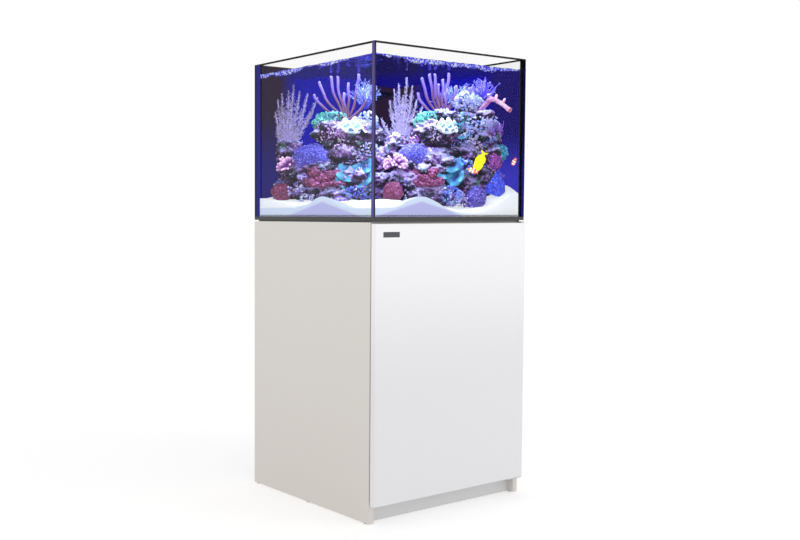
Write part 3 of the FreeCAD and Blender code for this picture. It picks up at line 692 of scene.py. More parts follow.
class AQUARIUM_OT_plumbing(AquariumStep):
    """Finishes the sump, the reservoir, the pipes and the pump"""

    bl_idname = "aquarium.plumbing"
    bl_label = "Sump and plumbing"

    def build(self):
        pipe = painted("Grey pipe", shade(112, 116, 120), 0.36, 0.08, 60.0, 0.0001)
        pipes = ["bulkheads", "main_standpipe", "emergency_standpipe", "drain_downpipe"]
        dress([*pipes, "emergency_downpipe", "return_pipe", "valve_body", "valve_disc", "top_up_tube"], pipe)
        black = painted("Black plastic", shade(26, 27, 30), 0.32, 0.1, 200.0, 0.0001)
        dress(["return_riser", "nozzle_segment", "nozzle_tip"], black)
        dress(["pump_housing", "pump_cover", "reservoir_cap"], black)
        dress(["valve_lever"], painted("Red lever", shade(176, 28, 26), 0.4, 0.06))
        white = painted("White plastic", shade(222, 225, 226), 0.4, 0.04, 80.0)
        dress(["pump_impeller", "float_arm", "float_bracket", "top_up_reservoir", "reservoir_lid"], white)
        dress(["filter_sock"], self.felt())
        dress(["sump_tank", "sump_baffles", "sock_holder"], self.acrylic())

    def felt(self):
        f = Finish("White felt")
        fibre = f.noise(900.0, 5.0, 0.7)
        colour = f.blend(f.noise(30.0) * 0.4, shade(236, 233, 222), shade(198, 190, 168))
        return f.done(f.surface(colour, 0.95, Normal=f.bump(fibre, 0.0012)))

    def acrylic(self):
        """Clear sheet with a faint blue tint and a mirror sheen that grows at flat angles."""
        f = Finish("Clear acrylic")
        tint = f.clear(shade(222, 236, 240))
        return f.done(f.mixed(f.fresnel(1.45) * 0.8 + 0.06, tint, f.mirror(roughness=0.04)))


# ---------------------------------------------------------------- tank


def deep_blue(f, dusk, painted_navy, inner):
    """The backdrop's blue as painted light, a glow where inner is 1 over a plain dark face elsewhere: royal
    blue, dimmed by painted shade where those two masks say, and brighter low down.
    """
    # Painted shade: where the dusk mask is 1 the blue dims to a dusky purple, bluer high up.
    high = f.mask(f.axis("Z"), 0.98, 1.2)
    dusky = f.blend(high, shade(40, 34, 118), shade(46, 32, 58))
    colour = f.blend(dusk, shade(20, 16, 172), dusky)
    colour = f.blend(painted_navy, colour, shade(36, 28, 112))
    # Painted light: a brighter blue low on the film, away from the dusk.
    low = f.mask(f.axis("Z"), 1.12, 0.95)
    colour = f.blend(low * (1 - dusk), colour, shade(62, 58, 196))
    # The film glows: painted light, not a lamp.
    shine = f.glow(colour, settings().backdrop_glow)
    plain = f.surface((0.012, 0.012, 0.014, 1), 0.35)
    return f.done(f.mixed(inner, plain, shine))


class AQUARIUM_OT_tank(AquariumStep):
    """Finishes the panes, seams, backdrop film and overflow chamber"""

    bl_idname = "aquarium.tank"
    bl_label = "Tank"

    def build(self):
        # Painted light: violet is the glow of the front pane's cut end, dark the others'.
        violet, dark = shade(96, 84, 160), shade(18, 20, 26)
        dress(["front_pane"], self.glass("Front glass", 0.006, "X", violet))
        dress(["rear_pane"], self.glass("Rear glass", 0.006, "X", dark))
        dress(["right_pane"], self.glass("Right glass", 0.006, "Y", dark))
        dress(["left_pane"], self.glass("Left glass", 0.03, "Y", dark))
        dress(["tank_bottom_pane"], painted("Black glass", shade(62, 62, 60), 0.12, 0.05))
        dress(["base_seam"], painted("Black silicone", shade(14, 14, 17), 0.3, 0.1, 90.0, 0.0003))
        dress(["corner_seams"], self.corner_silicone())
        dress(["levelling_mat"], painted("Foam mat", shade(150, 150, 152), 0.9, 0.25, 900.0, 0.0004))
        # Painted light: the inner faces of the films glow in the backdrop's blue, dimmed by painted shade to
        # dusky purple and dark blue in bands; the overflow chamber and its comb get the same glow on their
        # outside so that they vanish into the backdrop.
        rear = Finish("Rear film")
        inside = rear.mask(rear.facing("Y"), -0.5, -0.9)
        dusk = rear.mask(abs(rear.axis("X")) + self.cloud(rear), 0.11, 0.2)
        dress(["rear_film"], deep_blue(rear, dusk, 0.0, inside))
        side = Finish("Side film")
        inside = side.mask(side.facing("X"), -0.5, -0.9)
        back = side.axis("Y") + self.cloud(side)
        dusk, painted_navy = side.mask(back, 0.13, 0.22), side.mask(back, -0.06, -0.18)
        dress(["side_film"], deep_blue(side, dusk, painted_navy, inside))
        weir = Finish("Overflow chamber")
        outside = weir.mask(weir.axis("Y"), WEIR_LOW.y + 0.004, WEIR_LOW.y + 0.002)
        outside = outside.at_least(weir.mask(abs(weir.axis("X")), 0.112, 0.114))
        dress(["weir_box"], deep_blue(weir, weir.mask(weir.axis("X"), 0.05, 0.1), 0.0, outside))
        comb = Finish("Overflow comb")
        dress(["weir_comb"], deep_blue(comb, comb.mask(comb.axis("X"), 0.05, 0.1), 0.0, 0.9))

    def cloud(self, f):
        """A slow drift that keeps the backdrop's bands from looking ruled."""
        return (f.noise(5.0, 2.0) - 0.5) * 0.12

    def corner_silicone(self):
        """Black at the front corners; at the rear a painted blue glow like the backdrop's light."""
        f = Finish("Corner silicone")
        rear = f.mask(f.axis("Y"), 0.1, 0.2)
        black = f.surface(shade(12, 12, 15), 0.3)
        # Painted light: the rear seams glow blue like the backdrop.
        return f.done(f.mixed(rear, black, f.glow(shade(52, 52, 134), 0.95)))

    def glass(self, name, shine, cut_axis, cut_colour):
        """Clear glass with coloured cut ends that half glow, painted light, and a dark top line of painted
        shade; shine is how much it mirrors.
        """
        f = Finish(name)
        cut = f.mask(abs(f.facing(cut_axis)), 0.5, 0.9)
        cut_colour = f.blend(f.mask(f.axis("X"), -0.1, 0.1), cut_colour, shade(18, 20, 26))
        # Painted shade: a dark band over the top few millimetres of each pane stands for its dark-looking top
        # edge.
        rim = f.mask(f.axis("Z"), TOP - 0.0042, TOP - 0.0032)
        face = f.mixed(f.fresnel(1.45) * shine, f.clear((0.955, 0.955, 0.955, 1)), f.mirror())
        # Painted light: the cut ends are half a glow of their colour, violet at the front pane's left end and
        # dark elsewhere.
        end = f.mixed(0.5, f.glow(cut_colour, 0.6), f.surface(cut_colour, 0.2))
        line = f.surface(shade(22, 24, 28), 0.15)
        return f.done(f.mixed(rim, f.mixed(cut, face, end), line))


class AQUARIUM_OT_water(AquariumStep):
    """Builds the rippled surface and the sparkling water line"""

    bl_idname = "aquarium.water"
    bl_label = "Water"

    def build(self):
        level, ripple = settings().water_level, settings().ripple
        bm = bmesh.new()
        bmesh.ops.create_grid(bm, x_segments=150, y_segments=140, size=0.5)
        for vert in bm.verts:
            x = LEFT + (vert.co.x + 0.5) * (RIGHT - LEFT)
            y = FRONT + (vert.co.y + 0.5) * (BACK - FRONT)
            lift = noise.fractal(Vector((x * 14, y * 14, 2.0)), 1.0, 2.0, 3)
            vert.co = (x, y, level + lift * ripple)
        gone = [face for face in bm.faces if in_chamber(face.calc_center_median(), 0.004)]
        bmesh.ops.delete(bm, geom=gone, context="FACES")
        finished("water_surface", bm, self.surface_finish(), "clear_glass", recalc=False)
        self.water_line(level)

    def surface_finish(self):
        """Clear from above; from below where the angle is flat, a blue-tinted mirror mixed with a painted
        reflection of the backdrop in dark blue.
        """
        f = Finish("Water surface")
        through = f.clear(shade(236, 244, 255))
        # Painted reflection: from below, a glow in dark blue, bluer towards the rear right, stands in for the
        # backdrop seen in the surface.
        high = f.mask(f.axis("X") + f.axis("Y"), -0.1, 0.3)
        painted_navy = f.glow(f.blend(high, shade(34, 30, 96), shade(24, 20, 140)))
        back = f.mixed(0.72, f.mirror(shade(150, 150, 235)), painted_navy)
        share = f.mask(f.fresnel(1.33), 0.05, 0.5)
        return f.done(f.mixed(share, through, back))

    def water_line(self, level):
        """A thin sparkling band on the inside of the front and left panes, just under the surface."""
        bm = bmesh.new()
        reach = 0.003
        for start, end in (
            (Vector((LEFT + reach, FRONT + reach, 0)), Vector((RIGHT - reach, FRONT + reach, 0))),
            (Vector((LEFT + reach, BACK - reach, 0)), Vector((LEFT + reach, FRONT + reach, 0))),
        ):
            across = (end - start).normalized().cross(UP)

            def shape(turn, rise, start=start, end=end, across=across):
                at = start.lerp(end, turn)
                wave = noise.fractal(at * 30, 1.0, 2.0, 3) * 0.0012
                top = level + 0.001 + noise.fractal(at * 40 + UP, 1.0, 2.0, 3) * 0.0018
                return at + across * wave + UP * (top - 0.02 * rise)

            sheeted(bm, 240, 6, shape, closed=False)
        finished("water_line", bm, self.line_finish(level), "clear_glass")

    def line_finish(self, level):
        """White and blue sparkles, thick at the top of the band and gone at its foot."""
        f = Finish("Water line")
        depth = (level - f.axis("Z")) / 0.02
        sparkle = f.noise(150.0, 4.0, 0.75, stretch=(1.0, 1.0, 1.6))
        broad = f.noise(9.0, 3.0)
        thick = f.mask(broad, 0.4, 0.66) * 0.75 + 0.14
        share = f.mask(sparkle + 0.5 * (1 - depth / thick), 0.58, 0.68)
        share = share * f.mask(depth, thick + 0.15, thick - 0.2)
        white = f.mask(f.noise(200.0, 3.0, 0.6), 0.46, 0.58) * f.mask(broad, 0.32, 0.5)
        colour = f.blend(white, shade(64, 58, 226), shade(214, 222, 255))
        return f.done(f.mixed(share, f.clear(), f.glow(colour)))


# ---------------------------------------------------------------- sand


def swell(x, y, centre, reach):
    """A round hill, 1 at its centre and nearly 0 at twice its reach."""
    gap = Vector((x, y)) - Vector(centre)
    return math.exp(-gap.length_squared / reach**2)


def sand_height(x, y):
    """Height of the sand: low in the near corner, banked up at the glass, and rising behind the reef."""
    banks = 0.037 * (swell(x, y, (-0.113, FRONT), 0.07) + swell(x, y, (LEFT, -0.042), 0.07))
    inwards = min(1.0, min(x - LEFT, y - FRONT) / 0.2)
    floor = 0.022 - 0.012 * max(0.0, min(1.0, (x + 0.05) / 0.15))
    slope = 0.03 * inwards * inwards * (3 - 2 * inwards)
    rear = 0.035 * max(0.0, min(1.0, (y - 0.02) / 0.25)) * max(0.0, min(1.0, (0.05 - x) / 0.2))
    mound = 0.085 * swell(x, y, (0.31, -0.2), 0.12)
    ripple = noise.fractal(Vector((x * 14, y * 14, 5)), 1.0, 2.0, 3) * 0.003
    grain = noise.noise(Vector((x * 260, y * 260, 1))) * 0.0005
    return FLOOR + floor + banks + slope + rear + mound + ripple + grain


class AQUARIUM_OT_sand(AquariumStep):
    """Builds the drifted coral sand"""

    bl_idname = "aquarium.sand"
    bl_label = "Sand"

    def build(self):
        bm = bmesh.new()
        bmesh.ops.create_grid(bm, x_segments=170, y_segments=160, size=0.5)
        inset = 0.0006
        for vert in bm.verts:
            x = LEFT + inset + (vert.co.x + 0.5) * (RIGHT - LEFT - 2 * inset)
            y = FRONT + inset + (vert.co.y + 0.5) * (BACK - FRONT - 2 * inset)
            vert.co = (x, y, sand_height(x, y))
        gone = [face for face in bm.faces if in_chamber(face.calc_center_median(), 0.002)]
        bmesh.ops.delete(bm, geom=gone, context="FACES")
        lower = bmesh.ops.extrude_face_region(bm, geom=list(bm.faces))["geom"]
        for vert in lower:
            if isinstance(vert, bmesh.types.BMVert):
                vert.co.z = FLOOR + inset
        made = finished("sand", bm, self.finish(), "coral_sand")
        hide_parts("sand_bed")

    def finish(self):
        """White coral sand, blue-grey in the banks that stand in their own shade against the glass: painted
        shade, darkest in a low wedge by the glass, under a strong painted glow of the sand's own colour.
        """
        f = Finish("Coral sand")
        grain = f.noise(900.0, 4.0, 0.7)
        x, y, z = f.axis("X"), f.axis("Y"), f.axis("Z")
        to_glass = (x - LEFT).at_most(y - FRONT)
        bank = f.mask(to_glass + (f.noise(20.0) - 0.5) * 0.02, 0.05, 0.035) * f.mask(x, 0.1, 0.0)
        left = f.mask(y - FRONT, 0.0, 0.02)
        shaded = f.blend(left, shade(216, 230, 255), shade(212, 226, 250))
        foot = (x + 0.113) * 0.7 * (1 - left) + (y + 0.042) * 0.7 * left
        bank = bank * f.mask(abs(foot), 0.095, 0.08).at_least(f.mask(z, FLOOR + 0.03, FLOOR + 0.025))
        # Painted shade: darker lavender low against the glass, deepest at the foot of each bank.
        deep = f.mask(z + abs(foot) * 0.35, FLOOR + 0.048, FLOOR + 0.04) * 0.75
        shaded = f.blend(deep, shaded, shade(180, 178, 236))
        colour = f.blend(bank, shade(246, 250, 255), shaded)
        colour = f.blend(f.mask(grain, 0.6, 0.78) * 0.25, colour, shade(150, 146, 196))
        lit = f.surface(colour, 0.9, Normal=f.bump(grain, 0.0012))
        # Painted light: the sand is mostly a glow of its own colour, more so in the banks.
        own = f.glow(colour, 1.0)
        return f.done(f.mixed(0.72 + bank * 0.2, lit, own))


# ---------------------------------------------------------------- rock


ROCKS = [
    # centimetres along, ahead and up, and half sizes along, ahead and up
    (22, -2, 25, 7, 5.5, 5), (28, -1, 28, 6, 5, 4.5), (16, 0, 25, 5, 5, 4.5), (33, -2, 25, 5, 4.5, 5),
    (25, -3, 19, 10, 5.5, 4.5), (17, 0, 17, 7, 6, 4), (32, -1, 18, 5, 4.5, 4), (11, 0, 16, 6, 6, 5),
    (10, 1, 9, 8, 7, 6), (22, -2, 10, 9, 6, 6), (5, 1, 7, 6, 6, 5), (33, -2, 12, 5, 4.5, 6),
    (16, 3, 6, 8, 6, 5), (28, -2, 8, 8, 5, 6), (7, -1, 20, 4, 4, 6),
    (29, -2, 33, 4, 3.5, 3.5), (21, -1, 30, 4, 4, 3),
    (-8, -2, 25, 7, 5, 5), (-14, -1, 26, 5, 4.5, 4), (-3, -2, 24, 6, 5, 6), (-10, -2, 19, 9, 5.5, 4),
    (-17, -1, 15, 7, 5, 5), (-24, -3, 13, 6, 5, 6), (-8, -1, 11, 8, 6, 5), (-18, -1, 8, 8, 5, 5),
    (-26, -4, 7, 6, 4.5, 5), (-2, 0, 8, 6, 6, 6), (-12, 1, 6, 7, 6, 4), (-1, -2, 17, 6, 5, 6),
    (-27, -5, 20, 4, 3.5, 6),
]


def heap_ball(bm, place, level=3, tilt=0.0):
    along, ahead, up, *half = place
    sizes = tuple(size * 0.01 for size in half)
    return ball(bm, spot(along, ahead, up), sizes, level, (0, tilt, math.atan2(ALONG.y, ALONG.x)))


class AQUARIUM_OT_rock(AquariumStep):
    """Builds the pile of live rock and the polyps on it"""

    bl_idname = "aquarium.rock"
    bl_label = "Live rock"

    def build(self):
        rng = random.Random(11)
        bm = bmesh.new()
        for place in ROCKS:
            heap_ball(bm, place)
            for _ in range(5):
                offset = [rng.uniform(-0.85, 0.85) for _ in range(3)]
                knob = [place[i] + offset[i] * place[i + 3] for i in range(3)]
                heap_ball(bm, (*knob, *(size * rng.uniform(0.25, 0.5) for size in place[3:])), 2)
        for vert in bm.verts:
            vert.co.z = max(vert.co.z, FLOOR + 0.004)
        bm = skinned(bm, 0.0042)
        roughened(bm, 0.007, 55.0, 1)
        roughened(bm, 0.0035, 160.0, 2)
        self.keep_inside(bm)
        bm.normal_update()
        seats = [(vert.co.copy(), vert.normal.copy()) for vert in bm.verts if vert.normal.z > -0.2]
        made = finished("live_rocks", bm, live_rock(), "live_rock")
        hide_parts("reef_rocks")
        self.scatter(seats, rng)

    def keep_inside(self, bm):
        for vert in bm.verts:
            vert.co.x = min(max(vert.co.x, LEFT + 0.003), RIGHT - 0.003)
            vert.co.y = min(max(vert.co.y, FRONT + 0.003), BACK - 0.003)
            vert.co.z = max(vert.co.z, FLOOR + 0.001)

    def scatter(self, seats, rng):
        """Covers the rock with patches of polyps, each patch in its own colour, with painted shade on polyps
        that face sideways or down.
        """
        colours = [
            shade(168, 140, 236), shade(222, 214, 252), shade(110, 104, 232), shade(196, 130, 216),
            shade(110, 180, 220), shade(84, 80, 214), shade(216, 160, 220), shade(240, 240, 252),
            shade(122, 86, 186), shade(206, 204, 255),
        ]
        patches = [
            (rng.choice(seats)[0], rng.choice(colours), rng.uniform(0.0016, 0.0034))
            for _ in range(60)
        ]
        cup, bead = small_cup(), small_ball(1)
        bm = bmesh.new()
        bm.verts.layers.float_color.new("tint")
        for i in range(settings().polyps):
            point, normal = rng.choice(seats)
            near = min(patches, key=lambda patch: (patch[0] - point).length_squared)
            size = near[2] * rng.uniform(0.7, 1.3)
            turn = normal.to_track_quat("Z", "Y")
            place = Matrix.LocRotScale(point + normal * size * 0.3, turn, Vector((size, size, size)))
            # Random brightness times painted shade: polyps that face up are brighter, those that face
            # sideways or down darker.
            jitter_and_shade = rng.uniform(0.85, 1.1) * (0.55 + 0.45 * max(0.0, normal.z))
            tint = (*(min(1.0, c * jitter_and_shade) for c in near[1][:3]), 1.0)
            stamped(bm, cup if i % 3 else bead, place, tint)
        finished("rock_polyps", bm, tinted("Rock polyps", 0.4), "coral", recalc=False)


# ---------------------------------------------------------------- corals


class AQUARIUM_OT_corals(AquariumStep):
    """Builds the corals, clams and gorgonians"""

    bl_idname = "aquarium.corals"
    bl_label = "Corals"

    def build(self):
        self.bead = small_ball(1)
        self.fans()
        self.fingers()
        self.bushes()
        self.stubby()
        self.brains()
        self.clusters()
        self.leathers()
        self.plates()
        self.clams()
        self.tube_branch()
        self.small_rounds()

    # gorgonians

    def fans(self):
        """Bushy sea fans: a yellow-grey trunk whose branches carry a dense spray of pale twigs."""
        material = living("Sea fan", shade(122, 114, 112), shade(186, 174, 250), 0.5, 0.7, 400.0, 0.0003)
        habit = {
            "step": 0.004, "taper": 0.3, "bare": 0.1, "sides": 0.8, "forward": 0.7, "lift": 0.3,
            "reach": (0.3, 0.6), "thin": 0.85, "sway": 0.16,
        }
        bushes = [
            ((8, -1, 21), [
                (9.8, 42.5), (7.3, 40.5), (5.9, 39), (11.5, 40), (4.6, 35.5),
                (12.8, 35.7), (14.6, 34), (2.2, 30), (3.8, 27.5), (8.6, 37),
            ]),
            ((-27.5, -3, 21), [
                (-25.4, 41), (-27, 39.4), (-29, 38.3), (-30.4, 36.5), (-23.4, 39),
                (-31, 32.5), (-20.9, 38.3), (-17.8, 37), (-30.6, 27), (-20.5, 32),
            ]),
        ]
        for number, (base, tips) in enumerate(bushes):
            rng = random.Random(40 + number)
            strands = []
            for along, up in tips:
                start, end = spot(*base), spot(along, base[1] + rng.uniform(-1, 1), up)
                bend = start.lerp(end, 0.45) + (end - start).project(ALONG) * 0.25
                points = arched(start, bend, end, round((end - start).length / 0.0045))
                count = len(points)
                strand = []
                for i, at in enumerate(points):
                    strand.append((at, 0.0026 - 0.0016 * i / count, i / count * 0.5))
                strands.append(strand)
                for i in range(4, count):
                    heading = (points[i] - points[i - 1]).normalized()
                    for side in (-1, 1):
                        out = heading * 0.8 + ALONG * side * rng.uniform(0.4, 1.1) + AHEAD * rng.gauss(0, 0.3)
                        reach = rng.uniform(0.01, 0.026) * (1.15 - i / count)
                        grow(strands, rng, points[i], out, reach, 0.0009, 1, habit)
            for strand in strands:
                for point, _, _ in strand:
                    point.y = min(point.y, BACK - 0.005)
            tubes(f"sea_fan_{number + 1}", strands, material, "coral", 0)

    def fingers(self):
        """Finger gorgonians: long mauve-brown fingers that fan out and up to pale tips."""
        body, tip = shade(100, 62, 88), shade(128, 110, 212)
        material = living("Finger gorgonian", body, tip, 0.22, 0.8, 300.0, 0.001)
        groups = [
            ((20.5, 0, 30), [
                (16.7, 43.2), (14.4, 42), (13.2, 37.6), (18.1, 43), (20.6, 41.5),
                (22.3, 43.4), (24.6, 39.5), (19.3, 40), (23.2, 37), (21.8, 38.5),
            ]),
            ((-8, 0, 30), [
                (-13.5, 43), (-17, 41.5), (-18.5, 37.5), (-11.5, 43), (-8, 41),
                (-5, 43.5), (-1, 40), (-9.5, 38), (-2.5, 37),
            ]),
        ]
        for number, (base, tips) in enumerate(groups):
            rng = random.Random(60 + number)
            strands = []
            for along, up in tips:
                start = spot(base[0] + (along - base[0]) * 0.06, base[1] + rng.uniform(-0.8, 0.8), base[2])
                end = spot(along, base[1] + rng.uniform(-1.5, 1.5), up)
                bend = start.lerp(end, 0.5) + (end - start).project(ALONG) * 0.34 - UP * 0.008
                strand = []
                for i, point in enumerate(arched(start, bend, end, 26)):
                    t = i / 26
                    radius = (0.0034 + 0.001 * t) * (1 + 0.08 * math.sin(t * 70 + along))
                    point = point + ALONG * 0.0016 * math.sin(t * 11 + along * 3)
                    strand.append((point, radius, max(0.0, t - 0.5) * 1.8))
                heading = (end - bend).normalized()
                for ahead, width in ((0.002, 0.85), (0.0035, 0.5), (0.0042, 0.15)):
                    strand.append((end + heading * ahead, 0.0044 * width, 1.0))
                strands.append(strand)
            tubes(f"finger_gorgonian_{number + 1}", strands, material, "coral", 3)

    # branching stony corals

    def bushes(self):
        """Branching corals: blue staghorn, a violet bush and purple branches."""
        staghorn = living("Blue staghorn", shade(44, 44, 176), shade(190, 212, 255), 0.46, 0.6, 300.0)
        violet = living("Violet bush", shade(52, 42, 190), shade(170, 156, 255), 0.46, 0.6, 300.0)
        purple = living("Purple branches", shade(70, 42, 160), shade(190, 128, 240), 0.42, 0.5, 300.0)
        habit = {
            "step": 0.005, "taper": 0.3, "bare": 0.2, "sides": 0.45, "forward": 0.8, "lift": 0.25,
            "reach": (0.3, 0.6), "thin": 0.8, "sway": 0.16,
        }
        # base, number of stems, and their length, radius and spread
        species = [
            ("blue_staghorn", staghorn, [
                ((24, -2, 33), 26, 0.06, 0.0021, 0.5),
                ((-2.5, -2, 33), 26, 0.07, 0.0021, 0.4),
            ]),
            ("violet_bush", violet, [((32, -1.5, 35), 34, 0.058, 0.0024, 0.8)]),
            ("purple_branches", purple, [
                ((36, -0.5, 22), 22, 0.062, 0.0022, 0.3),
                ((34, -1, 19), 16, 0.05, 0.0022, 0.6),
            ]),
        ]
        for name, material, colonies in species:
            for number, (base, count, length, radius, spread) in enumerate(colonies):
                rng = random.Random(name + str(number))
                strands = []
                for _ in range(count):
                    out = Vector((rng.gauss(0, spread), rng.gauss(0, spread) * 0.8, 1)).normalized()
                    out = ALONG * out.x + AHEAD * out.y + UP * out.z
                    reach = length * rng.uniform(0.7, 1.05)
                    grow(strands, rng, spot(*base) + out * 0.006, out, reach, radius, 2, habit)
                tubes(f"{name}_{number + 1}", strands, material, "coral", 0)

    def stubby(self):
        """Cushions of short thick pink fingers with pale rounded tips."""
        material = living("Pink fingers", shade(96, 30, 116), shade(250, 200, 244), 0.34, 0.3, 300.0)
        cushions = [(6.6, 7, 15.6, 3.6, 2.4, 3.2), (-26, 0, 15.6, 4.4, 2.0, 3.2)]
        for number, (along, ahead, up, *half) in enumerate(cushions):
            ends = ((0.0018, 0.0033, 0.8), (0.0034, 0.0022, 1.0), (0.004, 0.0008, 1.0))
            rng = random.Random(69 + number)
            strands = []
            for _ in range(62):
                out = outward(rng, -0.35) * rng.uniform(0.85, 1.05)
                end = spot(along + out.x * half[0], ahead + out.y * half[1], up + out.z * half[2])
                start = spot(along, ahead, up).lerp(end, 0.35)
                reach = (end - start).normalized()
                strand = []
                for t in range(6):
                    strand.append((start.lerp(end, t / 5), 0.0034 + 0.0001 * t, max(0.0, t / 5 - 0.5) * 1.2))
                for beyond, radius, tip in ends:
                    strand.append((end + reach * beyond, radius, tip))
                strands.append(strand)
            tubes(f"pink_fingers_{number + 1}", strands, material, "coral", 2)

    # massive corals

    def lump(self, name, place, material, level=5, depth=0.0022, scale=220.0, rough=0.003, seed=1, tilt=0.0):
        bm = bmesh.new()
        heap_ball(bm, place, level, tilt)
        roughened(bm, rough, 38.0, seed, 3)
        pimpled(bm, depth, scale)
        finished(name, bm, material, "coral")

    def brains(self):
        """Blue brain corals with fine raised cells."""
        material = living("Brain coral", shade(28, 24, 120), shade(132, 128, 244), 0.3, 0.3, 420.0)
        self.lump("brain_coral_1", (12, 3, 18.5, 4.4, 3.4, 3.9), material, 6, 0.003, 150.0, 0.004, 3)
        self.lump("brain_coral_2", (-19, 1, 18.5, 6.0, 3.2, 3.8), material, 6, 0.003, 150.0, 0.004, 4)

    def clusters(self):
        """Cushions of pale beads: frilly white, lavender and blue-white colonies, with painted shade that
        darkens the beads low on each colony.
        """
        rng = random.Random(91)
        pale = [shade(236, 240, 255), shade(196, 206, 252), shade(150, 170, 246), shade(214, 196, 250)]
        blue = [shade(196, 222, 250), shade(120, 150, 236), shade(84, 96, 214), shade(150, 214, 224)]
        pink = [shade(224, 176, 228), shade(186, 124, 206), shade(240, 222, 250), shade(150, 84, 170)]
        lilac = [shade(180, 164, 232), shade(222, 214, 250), shade(146, 128, 214), shade(122, 92, 178)]
        teal = [shade(110, 200, 206), shade(64, 150, 172), shade(150, 222, 224), shade(60, 110, 190)]
        green = [shade(96, 214, 160), shade(60, 160, 150), shade(140, 232, 206), shade(70, 120, 170)]
        # place and half sizes, colours, bead radius and number of beads
        colonies = [
            ((27.3, 1, 34.5, 3.6, 3.0, 3.4), pale, 0.0032, 260),
            ((30.5, 0, 33.5, 3.0, 2.6, 3.0), pale, 0.0032, 200),
            ((31.2, 3, 27.3, 3.4, 2.6, 3.0), pale, 0.003, 240),
            ((29, 2, 25, 3.0, 2.6, 2.6), pale, 0.003, 180),
            ((34, 2, 28.5, 2.6, 2.0, 2.6), pale, 0.003, 130),
            ((17.3, 2, 25.5, 3.4, 2.8, 4.2), pink, 0.0028, 300),
            ((-13.2, 1, 25.6, 4.4, 3.0, 4.0), pink, 0.0028, 340),
            ((22.6, 6, 6.0, 4.2, 3.4, 3.2), blue, 0.0032, 300),
            ((25, 6, 4.6, 3.0, 2.6, 3.0), lilac, 0.003, 180),
            ((-4.5, 4, 6.5, 5.4, 3.4, 3.0), blue, 0.0032, 320),
            ((8.5, 5, 7.5, 4.6, 3.0, 3.0), lilac, 0.003, 260),
            ((11, 5, 5.5, 3.0, 2.4, 2.0), pale, 0.0028, 150),
            ((4, 3, 9.5, 3.4, 2.6, 2.6), lilac, 0.003, 180),
            ((-21, 2, 8, 5.0, 2.6, 2.8), lilac, 0.003, 240),
            ((-19, 3, 5.4, 3.4, 2.4, 2.0), pale, 0.0028, 150),
            ((-27.5, -2, 9.5, 3.4, 2.2, 2.4), blue, 0.003, 160),
            ((27.4, 1, 28, 3.2, 2.8, 3.8), teal, 0.003, 260),
            ((-2, 1, 29, 3.4, 2.6, 3.4), pale, 0.0032, 200),
            ((27, 4, 14.5, 3.4, 2.4, 2.8), blue, 0.0028, 160),
            ((17, 3, 19, 3.0, 2.4, 2.0), lilac, 0.0026, 140),
            ((22, 2, 17, 3.2, 2.4, 2.0), lilac, 0.0024, 120),
            ((-10, 2, 20.5, 3.4, 2.0, 2.0), pink, 0.0026, 150),
            ((33, 1, 15, 3.2, 2.2, 2.6), blue, 0.0024, 140),
            ((-7, 1, 17, 3.4, 2.0, 1.8), lilac, 0.0024, 120),
            ((-1.5, 2, 20, 3.0, 2.0, 3.0), pale, 0.0026, 120),
            ((16.5, 1, 30.2, 3.2, 2.4, 1.8), green, 0.0026, 260),
            ((14.2, 1, 28.6, 2.6, 2.2, 1.8), green, 0.0026, 200),
            ((-13, 0, 30.6, 4.4, 2.6, 1.8), green, 0.0028, 300),
            ((-16, 0, 29, 3.2, 2.4, 1.8), green, 0.0028, 220),
            ((21, 0, 30.5, 3.4, 2.6, 1.6), pale, 0.0028, 160),
            ((36, 0.5, 26, 2.4, 1.8, 3.4), lilac, 0.0026, 150),
            ((35, 1, 22, 2.8, 2.0, 2.4), blue, 0.0026, 150),
            ((7, -1, 20, 3.4, 3.0, 2.4), lilac, 0.0028, 160),
            ((-25, -3, 16, 3.6, 2.4, 3.0), lilac, 0.0028, 180),
            ((13.5, 2, 22.5, 3.0, 2.4, 2.4), pink, 0.0026, 160),
            ((30, 1, 21, 3.2, 2.0, 2.2), lilac, 0.0024, 120),
            ((25, 1, 22.5, 3.2, 2.0, 1.8), blue, 0.0024, 110),
        ]
        bm = bmesh.new()
        bm.verts.layers.float_color.new("tint")
        for (along, ahead, up, *half), colours, size, count in colonies:
            for _ in range(count):
                out = outward(rng, -0.6)
                lobes = 1 + 0.16 * math.sin(3 * math.atan2(out.y, out.x) + along) * out.xy.length
                out *= lobes * rng.uniform(0.86, 1.06)
                point = spot(along + out.x * half[0], ahead + out.y * half[1], up + out.z * half[2])
                wide = size * rng.uniform(0.6, 1.25)
                turn = Euler([rng.uniform(0, math.tau) for _ in range(3)])
                sizes = Vector((wide, wide * rng.uniform(0.6, 1), wide * rng.uniform(0.8, 1.6)))
                place = Matrix.LocRotScale(point, turn, sizes)
                drift = noise.noise(point * 45 + Vector((up, along, 0))) * 2.4
                patch = drift + rng.uniform(-0.5, 0.5) + len(colours) / 2
                tone = colours[min(len(colours) - 1, max(0, int(patch)))]
                # Painted shade: beads low on a colony are darker, those on its top brighter.
                light = 0.5 + 0.5 * max(0.0, out.z * 0.6 + 0.4)
                stamped(bm, self.bead, place, (*(c * light for c in tone[:3]), 1.0))
        finished("bead_corals", bm, tinted("Bead corals", 0.52), "coral", recalc=False)

    def leathers(self):
        """Teal leather corals: folded caps on short stalks."""
        teal = living("Teal leather", shade(16, 56, 104), shade(84, 164, 194), 0.18, 0.9, 160.0, 0.002)
